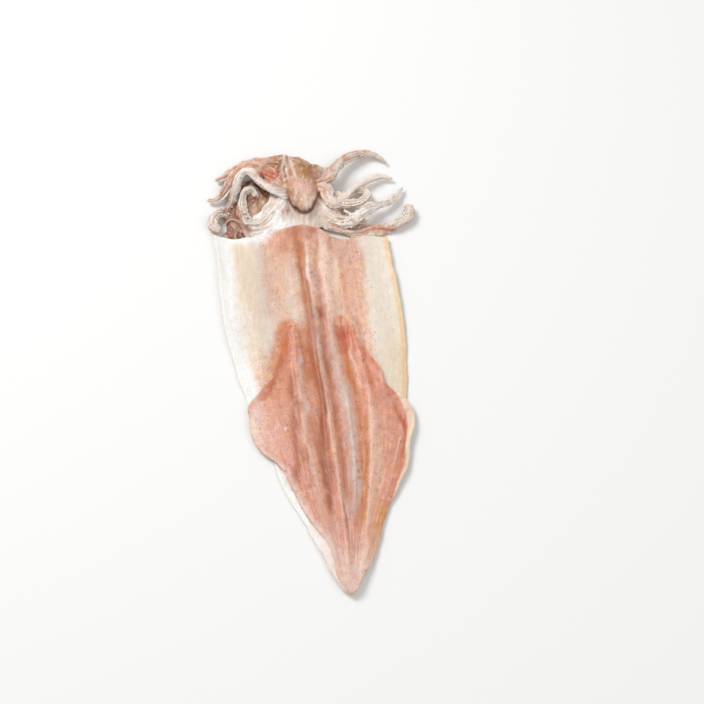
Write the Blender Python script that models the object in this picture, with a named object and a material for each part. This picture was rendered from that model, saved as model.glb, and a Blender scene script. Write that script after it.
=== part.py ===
"""A dried squid, slit along its belly, opened flat and laid skin side up.

The mantle is one wavy sheet with its two fins lying on it. The head comes out from under the
mantle's front edge, and eight arms and two tentacles curl away from it. All of it is one body.
Metres, +Z up. +Y runs from the tail to the head, and +X is to the right seen from above.
"""

import math

import bmesh
import bpy
import numpy as np

# Driving dimensions
MANTLE_LENGTH = 0.253
FRONT_WIDTH = 0.112
FLESH = 0.0027
EDGE_FLESH = 0.0015
TAIL_FLESH = 0.0042
SETTLE = 0.00015
SHARP_ANGLE = 50
FIN_FLESH = 0.0018
FIN_STICKS = 0.0003
FIN_EDGE_LIFT = 0.0013
HEAD_LENGTH = 0.038
HEAD_WIDTH = 0.024
HEAD_HEIGHT = 0.0180
ARM_WIDTH = 0.0120
TENTACLE_WIDTH = 0.0056
LIMB_CLEARANCE = 0.0002
MM = 0.001
TINY = 0.00001

# How finely the solid is cut
MANTLE_ROWS = 51
MANTLE_COLUMNS = 31
FIN_ROWS = 32
FIN_COLUMNS = 8
ARM_SIDES = 6
ARM_STEP = 4.6
CROWDING = 1.25
ROUTE_OVERSAMPLING = 20
HEAD_RINGS = 9
HEAD_SIDES = 14

# Plan outline. Each pair is a share of the mantle's length, counted from the tail, and a share of
# the front width, counted from the axis.
MIDLINE = (
    (0, 0), (0.19, 0.026), (0.34, 0.022), (0.5, 0.006), (0.66, -0.024), (0.87, -0.040), (1, -0.022),
)
LEFT_EDGE = (
    (0, -0.022), (0.035, -0.070), (0.10, -0.124), (0.19, -0.211), (0.28, -0.297), (0.37, -0.356),
    (0.50, -0.441), (0.62, -0.505), (0.80, -0.543), (0.93, -0.544), (1, -0.564),
)
RIGHT_EDGE = (
    (0, 0.028), (0.10, 0.108), (0.19, 0.205), (0.30, 0.306), (0.40, 0.380), (0.49, 0.430),
    (0.61, 0.463), (0.75, 0.472), (0.86, 0.456), (1, 0.436),
)
# The front edge rises to a point over the pen. Its pairs are a share of the width and of the length.
FRONT_EDGE = (
    (-0.57, 0.984), (-0.43, 0.970), (-0.24, 0.972), (-0.14, 0.977), (-0.02, 0.981), (0.06, 0.969),
    (0.12, 0.953), (0.18, 0.942), (0.26, 0.937), (0.36, 0.940), (0.45, 0.927),
)
LEFT_FIN = (
    (0, -0.018), (0.045, -0.060), (0.11, -0.080), (0.20, -0.186), (0.27, -0.250), (0.34, -0.318),
    (0.375, -0.400), (0.41, -0.434), (0.46, -0.446), (0.50, -0.443), (0.53, -0.380), (0.556, -0.308),
    (0.59, -0.264), (0.64, -0.224), (0.69, -0.194), (0.72, -0.160),
)
RIGHT_FIN = (
    (0, 0.030), (0.03, 0.062), (0.055, 0.098), (0.10, 0.158), (0.15, 0.198), (0.22, 0.278),
    (0.275, 0.350), (0.30, 0.386), (0.36, 0.418), (0.42, 0.460), (0.445, 0.456), (0.485, 0.404),
    (0.52, 0.326), (0.56, 0.302), (0.60, 0.256), (0.65, 0.200), (0.69, 0.186), (0.715, 0.150),
)
# The fins' front end, and the part of their length that the solid covers
FIN_FRONT = 0.72
FIN_START = 0.010
FIN_END = 0.995
# Where the fins grow from the mantle, on each side of the midline
FIN_ROOT = ((0, 0.004), (0.15, 0.030), (0.40, 0.070), (0.60, 0.086), (0.72, 0.110))

# Long folds in the drying flesh: track, half width, height, and the stretch that each one covers
FOLDS = (
    (MIDLINE, 3.0 * MM, 2.0 * MM, 0.02, 1.10),
    (((0, -0.01), (0.22, -0.140), (0.45, -0.153), (0.68, -0.150)), 2.8 * MM, 1.5 * MM, 0.06, 0.73),
    (((0, 0.01), (0.25, 0.095), (0.45, 0.100), (0.70, 0.060), (1, 0.085)), 3.4 * MM, 1.3 * MM, 0.08, 1.05),
    (((0, 0.02), (0.25, 0.165), (0.45, 0.222), (0.72, 0.170)), 3.0 * MM, 1.4 * MM, 0.10, 0.74),
    (((0, 0.0), (0.25, -0.060), (0.50, -0.060), (0.75, -0.095), (1, -0.10)), 3.0 * MM, -0.9 * MM, 0.08, 1.0),
    (((0, 0.01), (0.25, 0.130), (0.45, 0.162), (0.72, 0.130), (1, 0.165)), 2.8 * MM, -0.9 * MM, 0.08, 1.0),
    (((0.5, -0.33), (0.75, -0.36), (1, -0.34)), 7.0 * MM, 1.1 * MM, 0.50, 1.05),
    (((0.5, 0.28), (0.75, 0.30), (1, 0.27)), 6.5 * MM, 1.2 * MM, 0.45, 1.05),
)
FOLD_FADE = 0.06
FOLD_SEEN_BELOW = 0.5

# How the mantle lies: slow waves, edges that curl up towards the front, and a rise over the neck
WAVE_HEIGHT = 1.3 * MM
WAVE_ACROSS = 17 * MM
WAVE_ALONG = 31 * MM
WAVE_SLANT = 60 * MM
WAVE_PHASES = (0.8, 0.4)
CURL_AT_TAIL = 0.6 * MM
LEFT_CURL = (3.4 * MM, 7 * MM, 0.45, 1.0)
RIGHT_CURL = (1.8 * MM, 6 * MM, 0.55, 0.95)
NECK_RISE = 5.2 * MM
NECK_RISE_MIDDLE = -4 * MM
NECK_RISE_HALF_WIDTH = 24 * MM
NECK_RISE_FROM = 0.84
EDGE_TAPER = 16 * MM
TAIL_THICK_TO = 0.16

# How the fins lie on the mantle: their root, rippled margin, and the turned-up lip of each front lobe
FIN_ROOT_TAPER = 9 * MM
RIPPLE_HEIGHT = 0.4 * MM
RIPPLE_LENGTH = 5.2 * MM
RIPPLE_DEPTH = 5 * MM
LIP_HEIGHT = {-1: 0.5 * MM, 1: 1.4 * MM}
LIP_DEPTH = 3.2 * MM
LIFT_DEPTH = 8 * MM
LOOSE_MARGIN = (3 * MM, 9 * MM)
DROOP = 0.30
LOBE_BEGINS = (0.24, 0.34)
LOBE_ENDS = (0.46, 0.52)
LIFT_GROWS = (0.10, 0.40)
# The fins settle into the mantle at the tail, and melt into it at their front tips
SETTLED_AT_TAIL = 0.6
TAIL_SETTLES_TO = 0.10
FRONT_MELTS = (0.57, 0.68)
MELTED_AT_FRONT = 0.95

# Head, neck and arms
HEAD_MIDDLE = (-0.5 * MM, 275 * MM, 9.2 * MM)
CROWN_MIDDLE = (-4.5 * MM, 288 * MM, 8.2 * MM)
CROWN_SIZE = (13 * MM, 9.5 * MM, 7.6 * MM)
NECK_MIDDLE = (-8 * MM, 258 * MM, 4.2 * MM)
NECK_SIZE = (25 * MM, 15 * MM, 4.2 * MM)
EYE_PLACES = ((-9.5 * MM, 283 * MM, 8.5 * MM), (8.0 * MM, 284 * MM, 8.2 * MM))
EYE_SIZE = (6.5 * MM, 8.0 * MM, 6.4 * MM)

# Each arm's route in millimetres, from its root inside the head to its tip, then its widths at the
# root and the tip as shares of ARM_WIDTH
ARMS = {
    "left_1": (((-5, 271.5, 6.5), (-15.6, 272.4, 9.5), (-22.4, 275.4, 11.5), (-28.4, 281.2, 12.5),
                (-33.5, 288, 12.5), (-37.6, 290.6, 11.5), (-41.5, 288.1, 10), (-44.5, 282, 8),
                (-46.8, 275.6, 6.3), (-49.6, 269.8, 5), (-53.9, 266.4, 3.8), (-58.6, 266.7, 3)), 1.0, 0.30),
    "left_2": (((-5, 279, 5), (-13.5, 273, 5), (-19.5, 264.5, 4.7), (-25.5, 257, 4.5),
                (-33, 252.6, 4.2), (-39.6, 255.2, 4.5), (-41.7, 262.6, 5.2), (-41.6, 271, 6),
                (-39, 278.6, 6), (-34, 280.4, 4.8), (-31, 275.4, 3.7)), 1.0, 0.30),
    "left_3": (((-4.8, 274.7, 10), (-11.8, 276.5, 11.5), (-17.9, 281.6, 12.5), (-23.2, 288, 12.5),
                (-29.1, 293, 11.8), (-35.3, 294.7, 10.2), (-41.6, 293.1, 8.3), (-47, 288.7, 6.4),
                (-51.2, 282.7, 5), (-55.4, 277.2, 4), (-60.2, 275.1, 3.3), (-64.4, 276.5, 3)), 1.12, 0.26),
    "left_4": (((0, 281, 10), (-3.3, 287.8, 11), (-8.9, 293, 10.8), (-15.3, 296, 9.8), (-21.9, 297.5, 8.2),
                (-28.6, 298.4, 6.8), (-35.2, 299.1, 5.6), (-41.4, 298, 4.7), (-47.3, 295.6, 4),
                (-52.6, 292.3, 3.5), (-58.1, 290.5, 3)), 1.08, 0.24),
    "right_1": (((2.5, 277.3, 9), (10.7, 278, 9.8), (16.8, 282.5, 9.5), (22.1, 288.3, 8.6),
                 (27.3, 293.6, 7.4), (33.1, 297.1, 6.4), (39.3, 299.1, 5.2), (46.1, 299.3, 4.3),
                 (52.1, 296.3, 3.5), (56.9, 291.4, 3)), 1.0, 0.24),
    "right_2": (((3, 272, 8), (10.1, 275.1, 9), (14.3, 271.9, 9), (15, 265.7, 8.4), (18.5, 261.4, 8),
                 (24.8, 264.8, 8), (32.5, 271.8, 7), (41.1, 277.5, 5.6), (50.8, 280.4, 4.2),
                 (59.3, 278.6, 3)), 0.86, 0.24),
    "right_3": (((5, 279, 6), (12, 272, 6), (17, 264.6, 6.6), (23.4, 260.8, 7.2),
                 (30.8, 260.4, 7.2), (37.6, 262.4, 6.2), (41, 267.4, 5.2), (38, 272.2, 4.4),
                 (31.6, 272.4, 3.8), (27, 268.6, 3.2)), 0.96, 0.30),
    "right_4": (((3, 274, 4.5), (8.4, 265.4, 4.4), (12.6, 256.6, 4.6), (19, 250, 5), (26.4, 247.6, 6.6),
                 (33.4, 250, 8.2), (39.8, 254.6, 8.4), (47, 257.6, 7), (54.6, 260.6, 5), (60.6, 265.8, 3.6),
                 (65, 271.8, 3)), 0.98, 0.24),
}
# The two long tentacles are thin and end in a flat club
TENTACLES = {
    "tentacle_left": ((-5, 270, 3.5), (-13, 261, 3), (-22, 253.6, 3), (-31.6, 249.8, 3),
                      (-41.6, 250.6, 3), (-48, 255.6, 3.5), (-50.6, 262.4, 4), (-56, 264.9, 4.3),
                      (-61, 261, 4.4), (-61.6, 254.6, 4.2), (-56.6, 251.4, 4.2)),
    "tentacle_right": ((3, 268, 3.5), (8, 257, 3), (15, 247.6, 3), (24, 242.6, 3), (33, 241.6, 3),
                       (43, 243.6, 3.4), (52, 243, 4), (60, 245.4, 4.4), (66, 251, 4.2), (67.4, 258, 3.6)),
}
ARM_TAPER = 0.75
STALK_TAPER = 0.2
CLUB_START = 0.66
CLUB_FULL = 0.76
CLUB_NARROWS = 0.88
CLUB_TAPER = 0.75
CLUB_SWELL = 0.75
LIMB_FLATNESS = 0.74
ROOT_ROUNDING = 0.3
TIP_ROUNDING = 0.8


def through(points, at):
    """The value at a place on a smooth curve through (place, value) pairs."""
    place, value = np.array(points, float).T
    slope = np.gradient(value, place)
    at = np.clip(at, place[0], place[-1])
    k = np.clip(np.searchsorted(place, at, side="right") - 1, 0, len(place) - 2)
    span = place[k + 1] - place[k]
    s = (at - place[k]) / span
    return (
        (1 + 2 * s) * (1 - s) ** 2 * value[k]
        + s * (1 - s) ** 2 * span * slope[k]
        + s * s * (3 - 2 * s) * value[k + 1]
        + s * s * (s - 1) * span * slope[k + 1]
    )


def ease(low, high, at):
    """0 below low, 1 above high, and smooth between."""
    s = np.clip((at - low) / (high - low), 0, 1)
    return s * s * (3 - 2 * s)


def side(points, y):
    """The X of an outline or a track at this Y."""
    return FRONT_WIDTH * through(points, y / MANTLE_LENGTH)


def folds(x, y):
    """How far the long folds raise the flesh."""
    v = y / MANTLE_LENGTH
    total = np.zeros_like(x)
    for track, half_width, height, start, end in FOLDS:
        fade = ease(start, start + FOLD_FADE, v) * (1 - ease(end - FOLD_FADE, end, v))
        total += height * fade * np.exp(-(((x - side(track, y)) / half_width) ** 2))
    return total


def lie(x, y):
    """Height of the mantle's underside over the table, before it settles."""
    v = y / MANTLE_LENGTH
    across, along = WAVE_PHASES
    waves = WAVE_HEIGHT * np.sin(x / WAVE_ACROSS + across + y / WAVE_SLANT) * np.cos(y / WAVE_ALONG + along)
    curls = 0
    for (height, depth, start, end), inside in (
        (LEFT_CURL, x - side(LEFT_EDGE, y)),
        (RIGHT_CURL, side(RIGHT_EDGE, y) - x),
    ):
        curls += (CURL_AT_TAIL + height * ease(start, end, v)) * np.exp(-np.maximum(inside, 0) / depth)
    from_neck = (x - NECK_RISE_MIDDLE) / NECK_RISE_HALF_WIDTH
    return np.maximum(waves, 0) + curls + NECK_RISE * np.exp(-(from_neck**4)) * ease(NECK_RISE_FROM, 1, v)


def flesh(x, y):
    """Thickness of the mantle: thickest at the tail, thinner towards the free edges."""
    inside = np.minimum(x - side(LEFT_EDGE, y), side(RIGHT_EDGE, y) - x)
    body = EDGE_FLESH + (FLESH - EDGE_FLESH) * ease(0, EDGE_TAPER, inside)
    return body + (TAIL_FLESH - EDGE_FLESH) * (1 - ease(0, TAIL_THICK_TO, y / MANTLE_LENGTH))


def mantle_top(x, y):
    return lie(x, y) + flesh(x, y) + folds(x, y)


def mantle_underside(x, y):
    """The underside follows the folds by half and is flat where the flesh dried against the table."""
    return np.maximum(lie(x, y) + FOLD_SEEN_BELOW * np.maximum(folds(x, y), 0) - SETTLE, 0)


def inside_fin(x, y, hand):
    """How far a place lies in from the fin's free margin."""
    return hand * (side(LEFT_FIN if hand < 0 else RIGHT_FIN, y) - x)


def fin_root(y, hand):
    """Where the fin grows from the mantle, beside the midline."""
    return side(MIDLINE, y) + hand * side(FIN_ROOT, y)


def fin_top(x, y, hand):
    """The fin's upper face leaves the mantle gently and ends in a rippled, turned-up margin."""
    v = y / MANTLE_LENGTH
    inside = inside_fin(x, y, hand)
    rise = FIN_FLESH * ease(0, FIN_ROOT_TAPER, hand * (x - fin_root(y, hand))) - FIN_STICKS
    ripple = RIPPLE_HEIGHT * np.sin(y / RIPPLE_LENGTH + hand) * np.exp(-inside / RIPPLE_DEPTH)
    lobe = ease(*LOBE_BEGINS, v) * (1 - ease(*LOBE_ENDS, v))
    lip = LIP_HEIGHT[hand] * np.exp(-inside / LIP_DEPTH) * lobe
    lift = FIN_EDGE_LIFT * (1 - ease(0, LIFT_DEPTH, inside)) * ease(*LIFT_GROWS, v)
    edge = side(LEFT_EDGE if hand < 0 else RIGHT_EDGE, y)
    droop = DROOP * np.maximum(hand * (x - edge), 0)
    settled = 1 - SETTLED_AT_TAIL * (1 - ease(0, TAIL_SETTLES_TO, v))
    settled *= 1 - MELTED_AT_FRONT * ease(*FRONT_MELTS, v)
    return mantle_top(x, y) + (rise + ripple + lip + lift) * settled - droop


def fin_underside(x, y, hand):
    """The fin is grown onto the mantle, apart from its free margin, which stands a little off it."""
    grown = mantle_top(x, y) - FIN_STICKS
    free = fin_top(x, y, hand) - FIN_FLESH
    loose = 1 - ease(*LOOSE_MARGIN, inside_fin(x, y, hand))
    return np.maximum(grown + (free - grown) * loose, LIMB_CLEARANCE)


def new_object(name, points, faces):
    mesh = bpy.data.meshes.new(name)
    mesh.from_pydata([tuple(p) for p in points], [], faces)
    mesh.update()
    thing = bpy.data.objects.new(name, mesh)
    bpy.context.scene.collection.objects.link(thing)
    return thing


def outward(thing):
    """Turns every face to look out of the shape."""
    work = bmesh.new()
    work.from_mesh(thing.data)
    bmesh.ops.recalc_face_normals(work, faces=work.faces)
    work.to_mesh(thing.data)
    work.free()
    return thing


def sheet(name, x, y, top, underside):
    """A closed thin solid over a grid, with both faces split into triangles alike."""
    rows, columns = x.shape
    upper = np.stack([x, y, top], -1).reshape(-1, 3)
    lower = np.stack([x, y, underside], -1).reshape(-1, 3)
    under = rows * columns
    faces = []
    for r in range(rows - 1):
        for c in range(columns - 1):
            a, b = r * columns + c, r * columns + c + 1
            d, e = a + columns, b + columns
            faces += [(a, b, e), (a, e, d)]
            faces += [(a + under, e + under, b + under), (a + under, d + under, e + under)]
    rim = list(range(columns))
    rim += [r * columns + columns - 1 for r in range(1, rows)]
    rim += [(rows - 1) * columns + c for c in range(columns - 2, -1, -1)]
    rim += [r * columns for r in range(rows - 2, 0, -1)]
    for a, b in zip(rim, rim[1:] + rim[:1]):
        faces += [(a, a + under, b + under), (a, b + under, b)]
    return outward(new_object(name, np.vstack([upper, lower]), faces))


def loft(name, rings, start, end):
    """A closed skin over rings of points, with a pole at each end."""
    count, sides, _ = rings.shape
    points = np.vstack([rings.reshape(-1, 3), [start, end]])
    faces = []
    for r in range(count - 1):
        for s in range(sides):
            a, b = r * sides + s, r * sides + (s + 1) % sides
            faces += [(a, b, b + sides, a + sides)]
    last = (count - 1) * sides
    for s in range(sides):
        faces += [(s, count * sides, (s + 1) % sides), (last + s, last + (s + 1) % sides, count * sides + 1)]
    return outward(new_object(name, points, faces))


def mantle():
    """The opened body. Columns are closer together beside the midline, where the folds are."""
    u = np.linspace(-1, 1, MANTLE_COLUMNS)
    u = np.sign(u) * np.abs(u) ** CROWDING
    v = np.linspace(0, 1, MANTLE_ROWS)
    u, v = np.meshgrid(u, v)
    front = np.where(u < 0, side(LEFT_EDGE, MANTLE_LENGTH) * -u, side(RIGHT_EDGE, MANTLE_LENGTH) * u)
    y = MANTLE_LENGTH * v * through(FRONT_EDGE, front / FRONT_WIDTH)
    middle = side(MIDLINE, y)
    edge = np.where(u < 0, side(LEFT_EDGE, y), side(RIGHT_EDGE, y))
    x = middle + (edge - middle) * np.abs(u)
    return sheet("mantle", x, y, mantle_top(x, y), mantle_underside(x, y))


def fin(hand):
    """Rows run across the fin. They are closer together towards its rounded front lobe."""
    outline = LEFT_FIN if hand < 0 else RIGHT_FIN
    row = np.linspace(0, 1, FIN_ROWS)
    v = FIN_FRONT * (FIN_START + (FIN_END - FIN_START) * (1 - (1 - row) ** CROWDING))
    out = np.linspace(0, 1, FIN_COLUMNS)
    out, v = np.meshgrid(out, v)
    y = MANTLE_LENGTH * v
    root = fin_root(y, hand)
    x = root + (side(outline, y) - root) * out
    return sheet("fin", x, y, fin_top(x, y, hand), fin_underside(x, y, hand))


def travelled(points):
    """The distance along a line of points, up to each of them."""
    return np.concatenate([[0], np.cumsum(np.linalg.norm(np.diff(points, axis=0), axis=1))])


def smooth_route(points):
    """Evenly spaced places on a smooth curve through the route's points."""
    points = np.array(points, float) * MM
    reach = travelled(points)
    count = int(reach[-1] / (ARM_STEP * MM))
    fine = np.linspace(0, reach[-1], ROUTE_OVERSAMPLING * count)
    dense = np.stack([through(list(zip(reach, points[:, k])), fine) for k in range(3)], -1)
    along = travelled(dense)
    even = np.linspace(0, along[-1], count)
    return np.stack([np.interp(even, along, dense[:, k]) for k in range(3)], -1)


def limb(name, route, width):
    """A tapering limb along a route. Its section is a flattened oval that stays level."""
    ahead = np.gradient(route, axis=0)
    ahead /= np.linalg.norm(ahead, axis=1)[:, None]
    across = np.cross(ahead, (0, 0, 1))
    across /= np.linalg.norm(across, axis=1)[:, None]
    up = np.cross(across, ahead)
    turn = (np.linspace(0, 2 * math.pi, ARM_SIDES, endpoint=False) + math.pi / ARM_SIDES)[None, :, None]
    section = across[:, None] * np.cos(turn) + LIMB_FLATNESS * up[:, None] * np.sin(turn)
    rings = route[:, None] + (width / 2)[:, None, None] * section
    root = route[0] - ahead[0] * width[0] * ROOT_ROUNDING
    tip = route[-1] + ahead[-1] * width[-1] * TIP_ROUNDING
    rings[..., 2] = np.maximum(rings[..., 2], LIMB_CLEARANCE)
    tip[2] = max(tip[2], LIMB_CLEARANCE)
    return loft(name, rings, root, tip)


def arm(name, points, root_width, tip_width):
    """One arm, which stays thick for its first half."""
    route = smooth_route(points)
    t = np.linspace(0, 1, len(route))
    width = ARM_WIDTH * (tip_width + (root_width - tip_width) * (1 - t) ** ARM_TAPER)
    return limb(name, route, width)


def tentacle(name, points):
    """One tentacle: a thin stalk with a broad club at its end."""
    route = smooth_route(points)
    t = np.linspace(0, 1, len(route))
    club = ease(CLUB_START, CLUB_FULL, t) * (1 - CLUB_TAPER * ease(CLUB_NARROWS, 1, t))
    return limb(name, route, TENTACLE_WIDTH * (1 - STALK_TAPER * t + CLUB_SWELL * club))


def dome(name, middle, size):
    """A rounded lump, flattened where it would go under the table."""
    tilt = np.linspace(0, math.pi, HEAD_RINGS + 2)[1:-1]
    turn = np.linspace(0, 2 * math.pi, HEAD_SIDES, endpoint=False)
    tilt, turn = np.meshgrid(tilt, turn, indexing="ij")
    unit = np.stack([np.sin(tilt) * np.cos(turn), -np.cos(tilt), np.sin(tilt) * np.sin(turn)], -1)
    rings = np.array(middle) + unit * np.array(size)
    rings[..., 2] = np.maximum(rings[..., 2], 0.0)
    start = np.array(middle) - (0, size[1], 0)
    end = np.array(middle) + (0, size[1], 0)
    return loft(name, rings, start, end)


def head():
    """The dome, the crown that the arms grow from, two eye swellings, and the neck behind them."""
    parts = [dome("head", HEAD_MIDDLE, (HEAD_WIDTH / 2, HEAD_LENGTH / 2, HEAD_HEIGHT / 2))]
    parts += [dome("crown", CROWN_MIDDLE, CROWN_SIZE)]
    parts += [dome("eye", place, EYE_SIZE) for place in EYE_PLACES]
    parts += [dome("neck", NECK_MIDDLE, NECK_SIZE)]
    return parts


def fuse(body, others):
    """One union of the body with all the other pieces, which are then removed."""
    group = bpy.data.collections.new("fused")
    for other in others:
        group.objects.link(other)
    union = body.modifiers.new("union", "BOOLEAN")
    union.operation = "UNION"
    union.operand_type = "COLLECTION"
    union.collection = group
    graph = bpy.context.evaluated_depsgraph_get()
    joined = bpy.data.meshes.new_from_object(body.evaluated_get(graph))
    body.modifiers.clear()
    body.data = joined
    for other in others:
        bpy.data.objects.remove(other)
    bpy.data.collections.remove(group)


def shells(work):
    """The faces of each closed shell of a mesh."""
    left = set(work.faces)
    found = []
    while left:
        shell, edge = set(), [next(iter(left))]
        while edge:
            face = edge.pop()
            if face in shell:
                continue
            shell.add(face)
            edge += [other for e in face.edges for other in e.link_faces if other not in shell]
        left -= shell
        found.append(shell)
    return found


def keep_one_shell(body):
    """Fills any hollow that the union sealed, and drops loose scraps, by keeping the largest shell."""
    work = bmesh.new()
    work.from_mesh(body.data)
    bmesh.ops.triangulate(work, faces=work.faces)
    bmesh.ops.dissolve_degenerate(work, dist=TINY, edges=work.edges)
    found = sorted(shells(work), key=len)
    for shell in found[:-1]:
        bmesh.ops.delete(work, geom=list(shell), context="FACES")
    bmesh.ops.triangulate(work, faces=work.faces)
    work.to_mesh(body.data)
    work.free()


def stand_on_origin(body):
    """Puts the middle of the body's base at the origin."""
    points = np.array([v.co for v in body.data.vertices])
    low, high = points.min(0), points.max(0)
    shift = -np.array([(low[0] + high[0]) / 2, (low[1] + high[1]) / 2, low[2]])
    for vertex in body.data.vertices:
        vertex.co = [a + b for a, b in zip(vertex.co, shift)]


def skin():
    """Satin pink skin."""
    material = bpy.data.materials.new("squid_skin")
    material.use_nodes = True
    shader = material.node_tree.nodes["Principled BSDF"]
    shader.inputs["Base Color"].default_value = (0.74, 0.40, 0.29, 1)
    shader.inputs["Roughness"].default_value = 0.42
    shader.inputs["Metallic"].default_value = 0.0
    return material


def main():
    for thing in list(bpy.data.objects):
        bpy.data.objects.remove(thing)
    body = mantle()
    body.name = "dried_squid"
    others = [fin(-1), fin(1)] + head()
    others += [arm(name, *spec) for name, spec in ARMS.items()]
    others += [tentacle(name, points) for name, points in TENTACLES.items()]
    fuse(body, others)
    keep_one_shell(body)
    stand_on_origin(body)
    body.data.materials.clear()
    body.data.materials.append(skin())
    body.data.shade_smooth()
    body.data.set_sharp_from_angle(angle=math.radians(SHARP_ANGLE))


main()
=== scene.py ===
# %% [markdown]
# # A half-dried squid, skin side up
#
# A fresh squid is slit along its belly, opened like a book and laid flat to dry. What we look down
# on is its back: a long mantle with a pointed tail, two fins that make an arrowhead, and a small
# head with eight arms and two thin tentacles. In this lesson the mantle and the fins are fine
# sheets that formulas bend, the head and arms are fused from simple shapes, and all colour is
# painted by lists of streaks and patches.

# %% Load the solids that the surface has to match
import math

import bmesh
import bpy
import numpy as np
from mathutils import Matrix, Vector
from mathutils.kdtree import KDTree


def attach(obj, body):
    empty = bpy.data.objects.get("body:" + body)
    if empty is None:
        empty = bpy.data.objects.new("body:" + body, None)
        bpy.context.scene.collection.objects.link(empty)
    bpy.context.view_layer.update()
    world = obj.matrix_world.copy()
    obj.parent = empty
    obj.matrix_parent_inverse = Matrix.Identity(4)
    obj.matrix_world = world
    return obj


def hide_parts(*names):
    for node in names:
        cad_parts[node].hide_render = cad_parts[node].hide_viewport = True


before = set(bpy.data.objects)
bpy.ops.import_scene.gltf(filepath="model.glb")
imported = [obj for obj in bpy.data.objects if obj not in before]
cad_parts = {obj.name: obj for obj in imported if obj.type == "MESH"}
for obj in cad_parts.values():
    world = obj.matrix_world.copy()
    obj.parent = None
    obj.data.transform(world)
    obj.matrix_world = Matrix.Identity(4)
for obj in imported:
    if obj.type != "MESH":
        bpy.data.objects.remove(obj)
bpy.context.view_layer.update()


# %% [markdown]
# ## Where things are
#
# A squid has no straight edges, so its shape is easiest to write down in its own coordinates:
# the tail's tip is the zero point, Y runs up the back to the head, and X to the right. All
# shapes below are worked out there, and one shift at the end puts them into the shared frame.

# %% Units and the squid's own zero point
MM = 0.001
MANTLE_LENGTH = 0.253
FRONT_WIDTH = 0.112
FRAME_ORIGIN = (1.4924 * MM, 151.2355 * MM, 0.0)
LEFT, RIGHT = -1, 1
print("mantle", MANTLE_LENGTH / MM, "mm long and", FRONT_WIDTH / MM, "mm wide")

# %% [markdown]
# ## The camera
#
# The picture was taken by hand from above: the camera looks down at 65 degrees and is turned a
# few degrees, so that the squid leans to the left. A long lens keeps the tail, which is
# nearest, from growing.

# %% Set up the camera
CAMERA_RISE = math.radians(65)
CAMERA_TURN = math.radians(-6.543)
CAMERA_DISTANCE = 0.95
LOOK_AT = (18.04 * MM, 157.28 * MM, 0.0)
VIEW_WIDTH = 0.4435
SENSOR = 36.0


def new_object(name, data):
    """An object at the origin of the scene."""
    thing = bpy.data.objects.new(name, data)
    bpy.context.scene.collection.objects.link(thing)
    return thing


camera = new_object("camera", bpy.data.cameras.new("camera"))
bpy.context.scene.camera = camera
look_at = Vector(LOOK_AT) - Vector(FRAME_ORIGIN)
towards_camera = Vector((
    math.sin(CAMERA_TURN) * math.cos(CAMERA_RISE),
    -math.cos(CAMERA_TURN) * math.cos(CAMERA_RISE),
    math.sin(CAMERA_RISE),
))
camera.location = look_at + CAMERA_DISTANCE * towards_camera
camera.rotation_euler = towards_camera.to_track_quat("Z", "Y").to_euler()
camera.data.lens = SENSOR * CAMERA_DISTANCE / VIEW_WIDTH
print("lens", round(camera.data.lens, 1), "mm")

# %% [markdown]
# ## Curves through a few points
#
# Every outline here is a handful of measured points. `through` draws a smooth curve through
# them. `ease` fades something in between two values, `window` fades it out again, and `bell`
# is a soft hump. `noise` makes soft random bumps that are the same on every run, because the
# random numbers start from a fixed seed.


# %% Small helpers for shapes
def through(points, at):
    """The value at a place on a smooth curve through (place, value) pairs."""
    place, value = np.array(points, float).T
    slope = np.gradient(value, place)
    at = np.clip(at, place[0], place[-1])
    k = np.clip(np.searchsorted(place, at, side="right") - 1, 0, len(place) - 2)
    span = place[k + 1] - place[k]
    s = (at - place[k]) / span
    return (
        (1 + 2 * s) * (1 - s) ** 2 * value[k]
        + s * (1 - s) ** 2 * span * slope[k]
        + s * s * (3 - 2 * s) * value[k + 1]
        + s * s * (s - 1) * span * slope[k + 1]
    )


def ease(low, high, at):
    """0 below low, 1 above high, and smooth between."""
    s = np.clip((at - low) / (high - low), 0, 1)
    return s * s * (3 - 2 * s)


def window(start, full, falling, end, at):
    """0 up to start, 1 from full to falling, and 0 again from end on."""
    return ease(start, full, at) * (1 - ease(falling, end, at))


def bell(distance, half_width):
    """1 in the middle, and fading softly to both sides."""
    return np.exp(-((distance / half_width) ** 2))


def noise(a, b, seed, size=64):
    """Soft random bumps between -1 and 1, one bump for each whole step of a and of b."""
    grid = np.random.default_rng(seed).uniform(-1, 1, (size, size))
    a0, b0 = np.floor(a).astype(int), np.floor(b).astype(int)
    s, t = a - a0, b - b0
    s, t = s * s * (3 - 2 * s), t * t * (3 - 2 * t)
    corner = [[grid[(a0 + i) % size, (b0 + j) % size] for j in (0, 1)] for i in (0, 1)]
    low = corner[0][0] * (1 - t) + corner[0][1] * t
    high = corner[1][0] * (1 - t) + corner[1][1] * t
    return low * (1 - s) + high * s


def rough(a, b, seed, layers=3):
    """Noise in layers, each one twice as fine and half as strong."""
    return sum(noise(a * 2**n, b * 2**n, seed + n) / 2**n for n in range(layers))


print("noise goes down to", noise(np.arange(50) / 3, np.arange(50) / 5, 1).min().round(2))

# %% [markdown]
# ## The outlines
#
# The mantle's left edge hangs straight and white, its right edge is narrower, and its front
# edge rises to a point over the pen, the stiff quill inside. The fins start at the tail, widen
# to a blunt corner on each side and end in a rounded lobe. Each pair gives a share of the
# mantle's length and a share of the front width.

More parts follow.
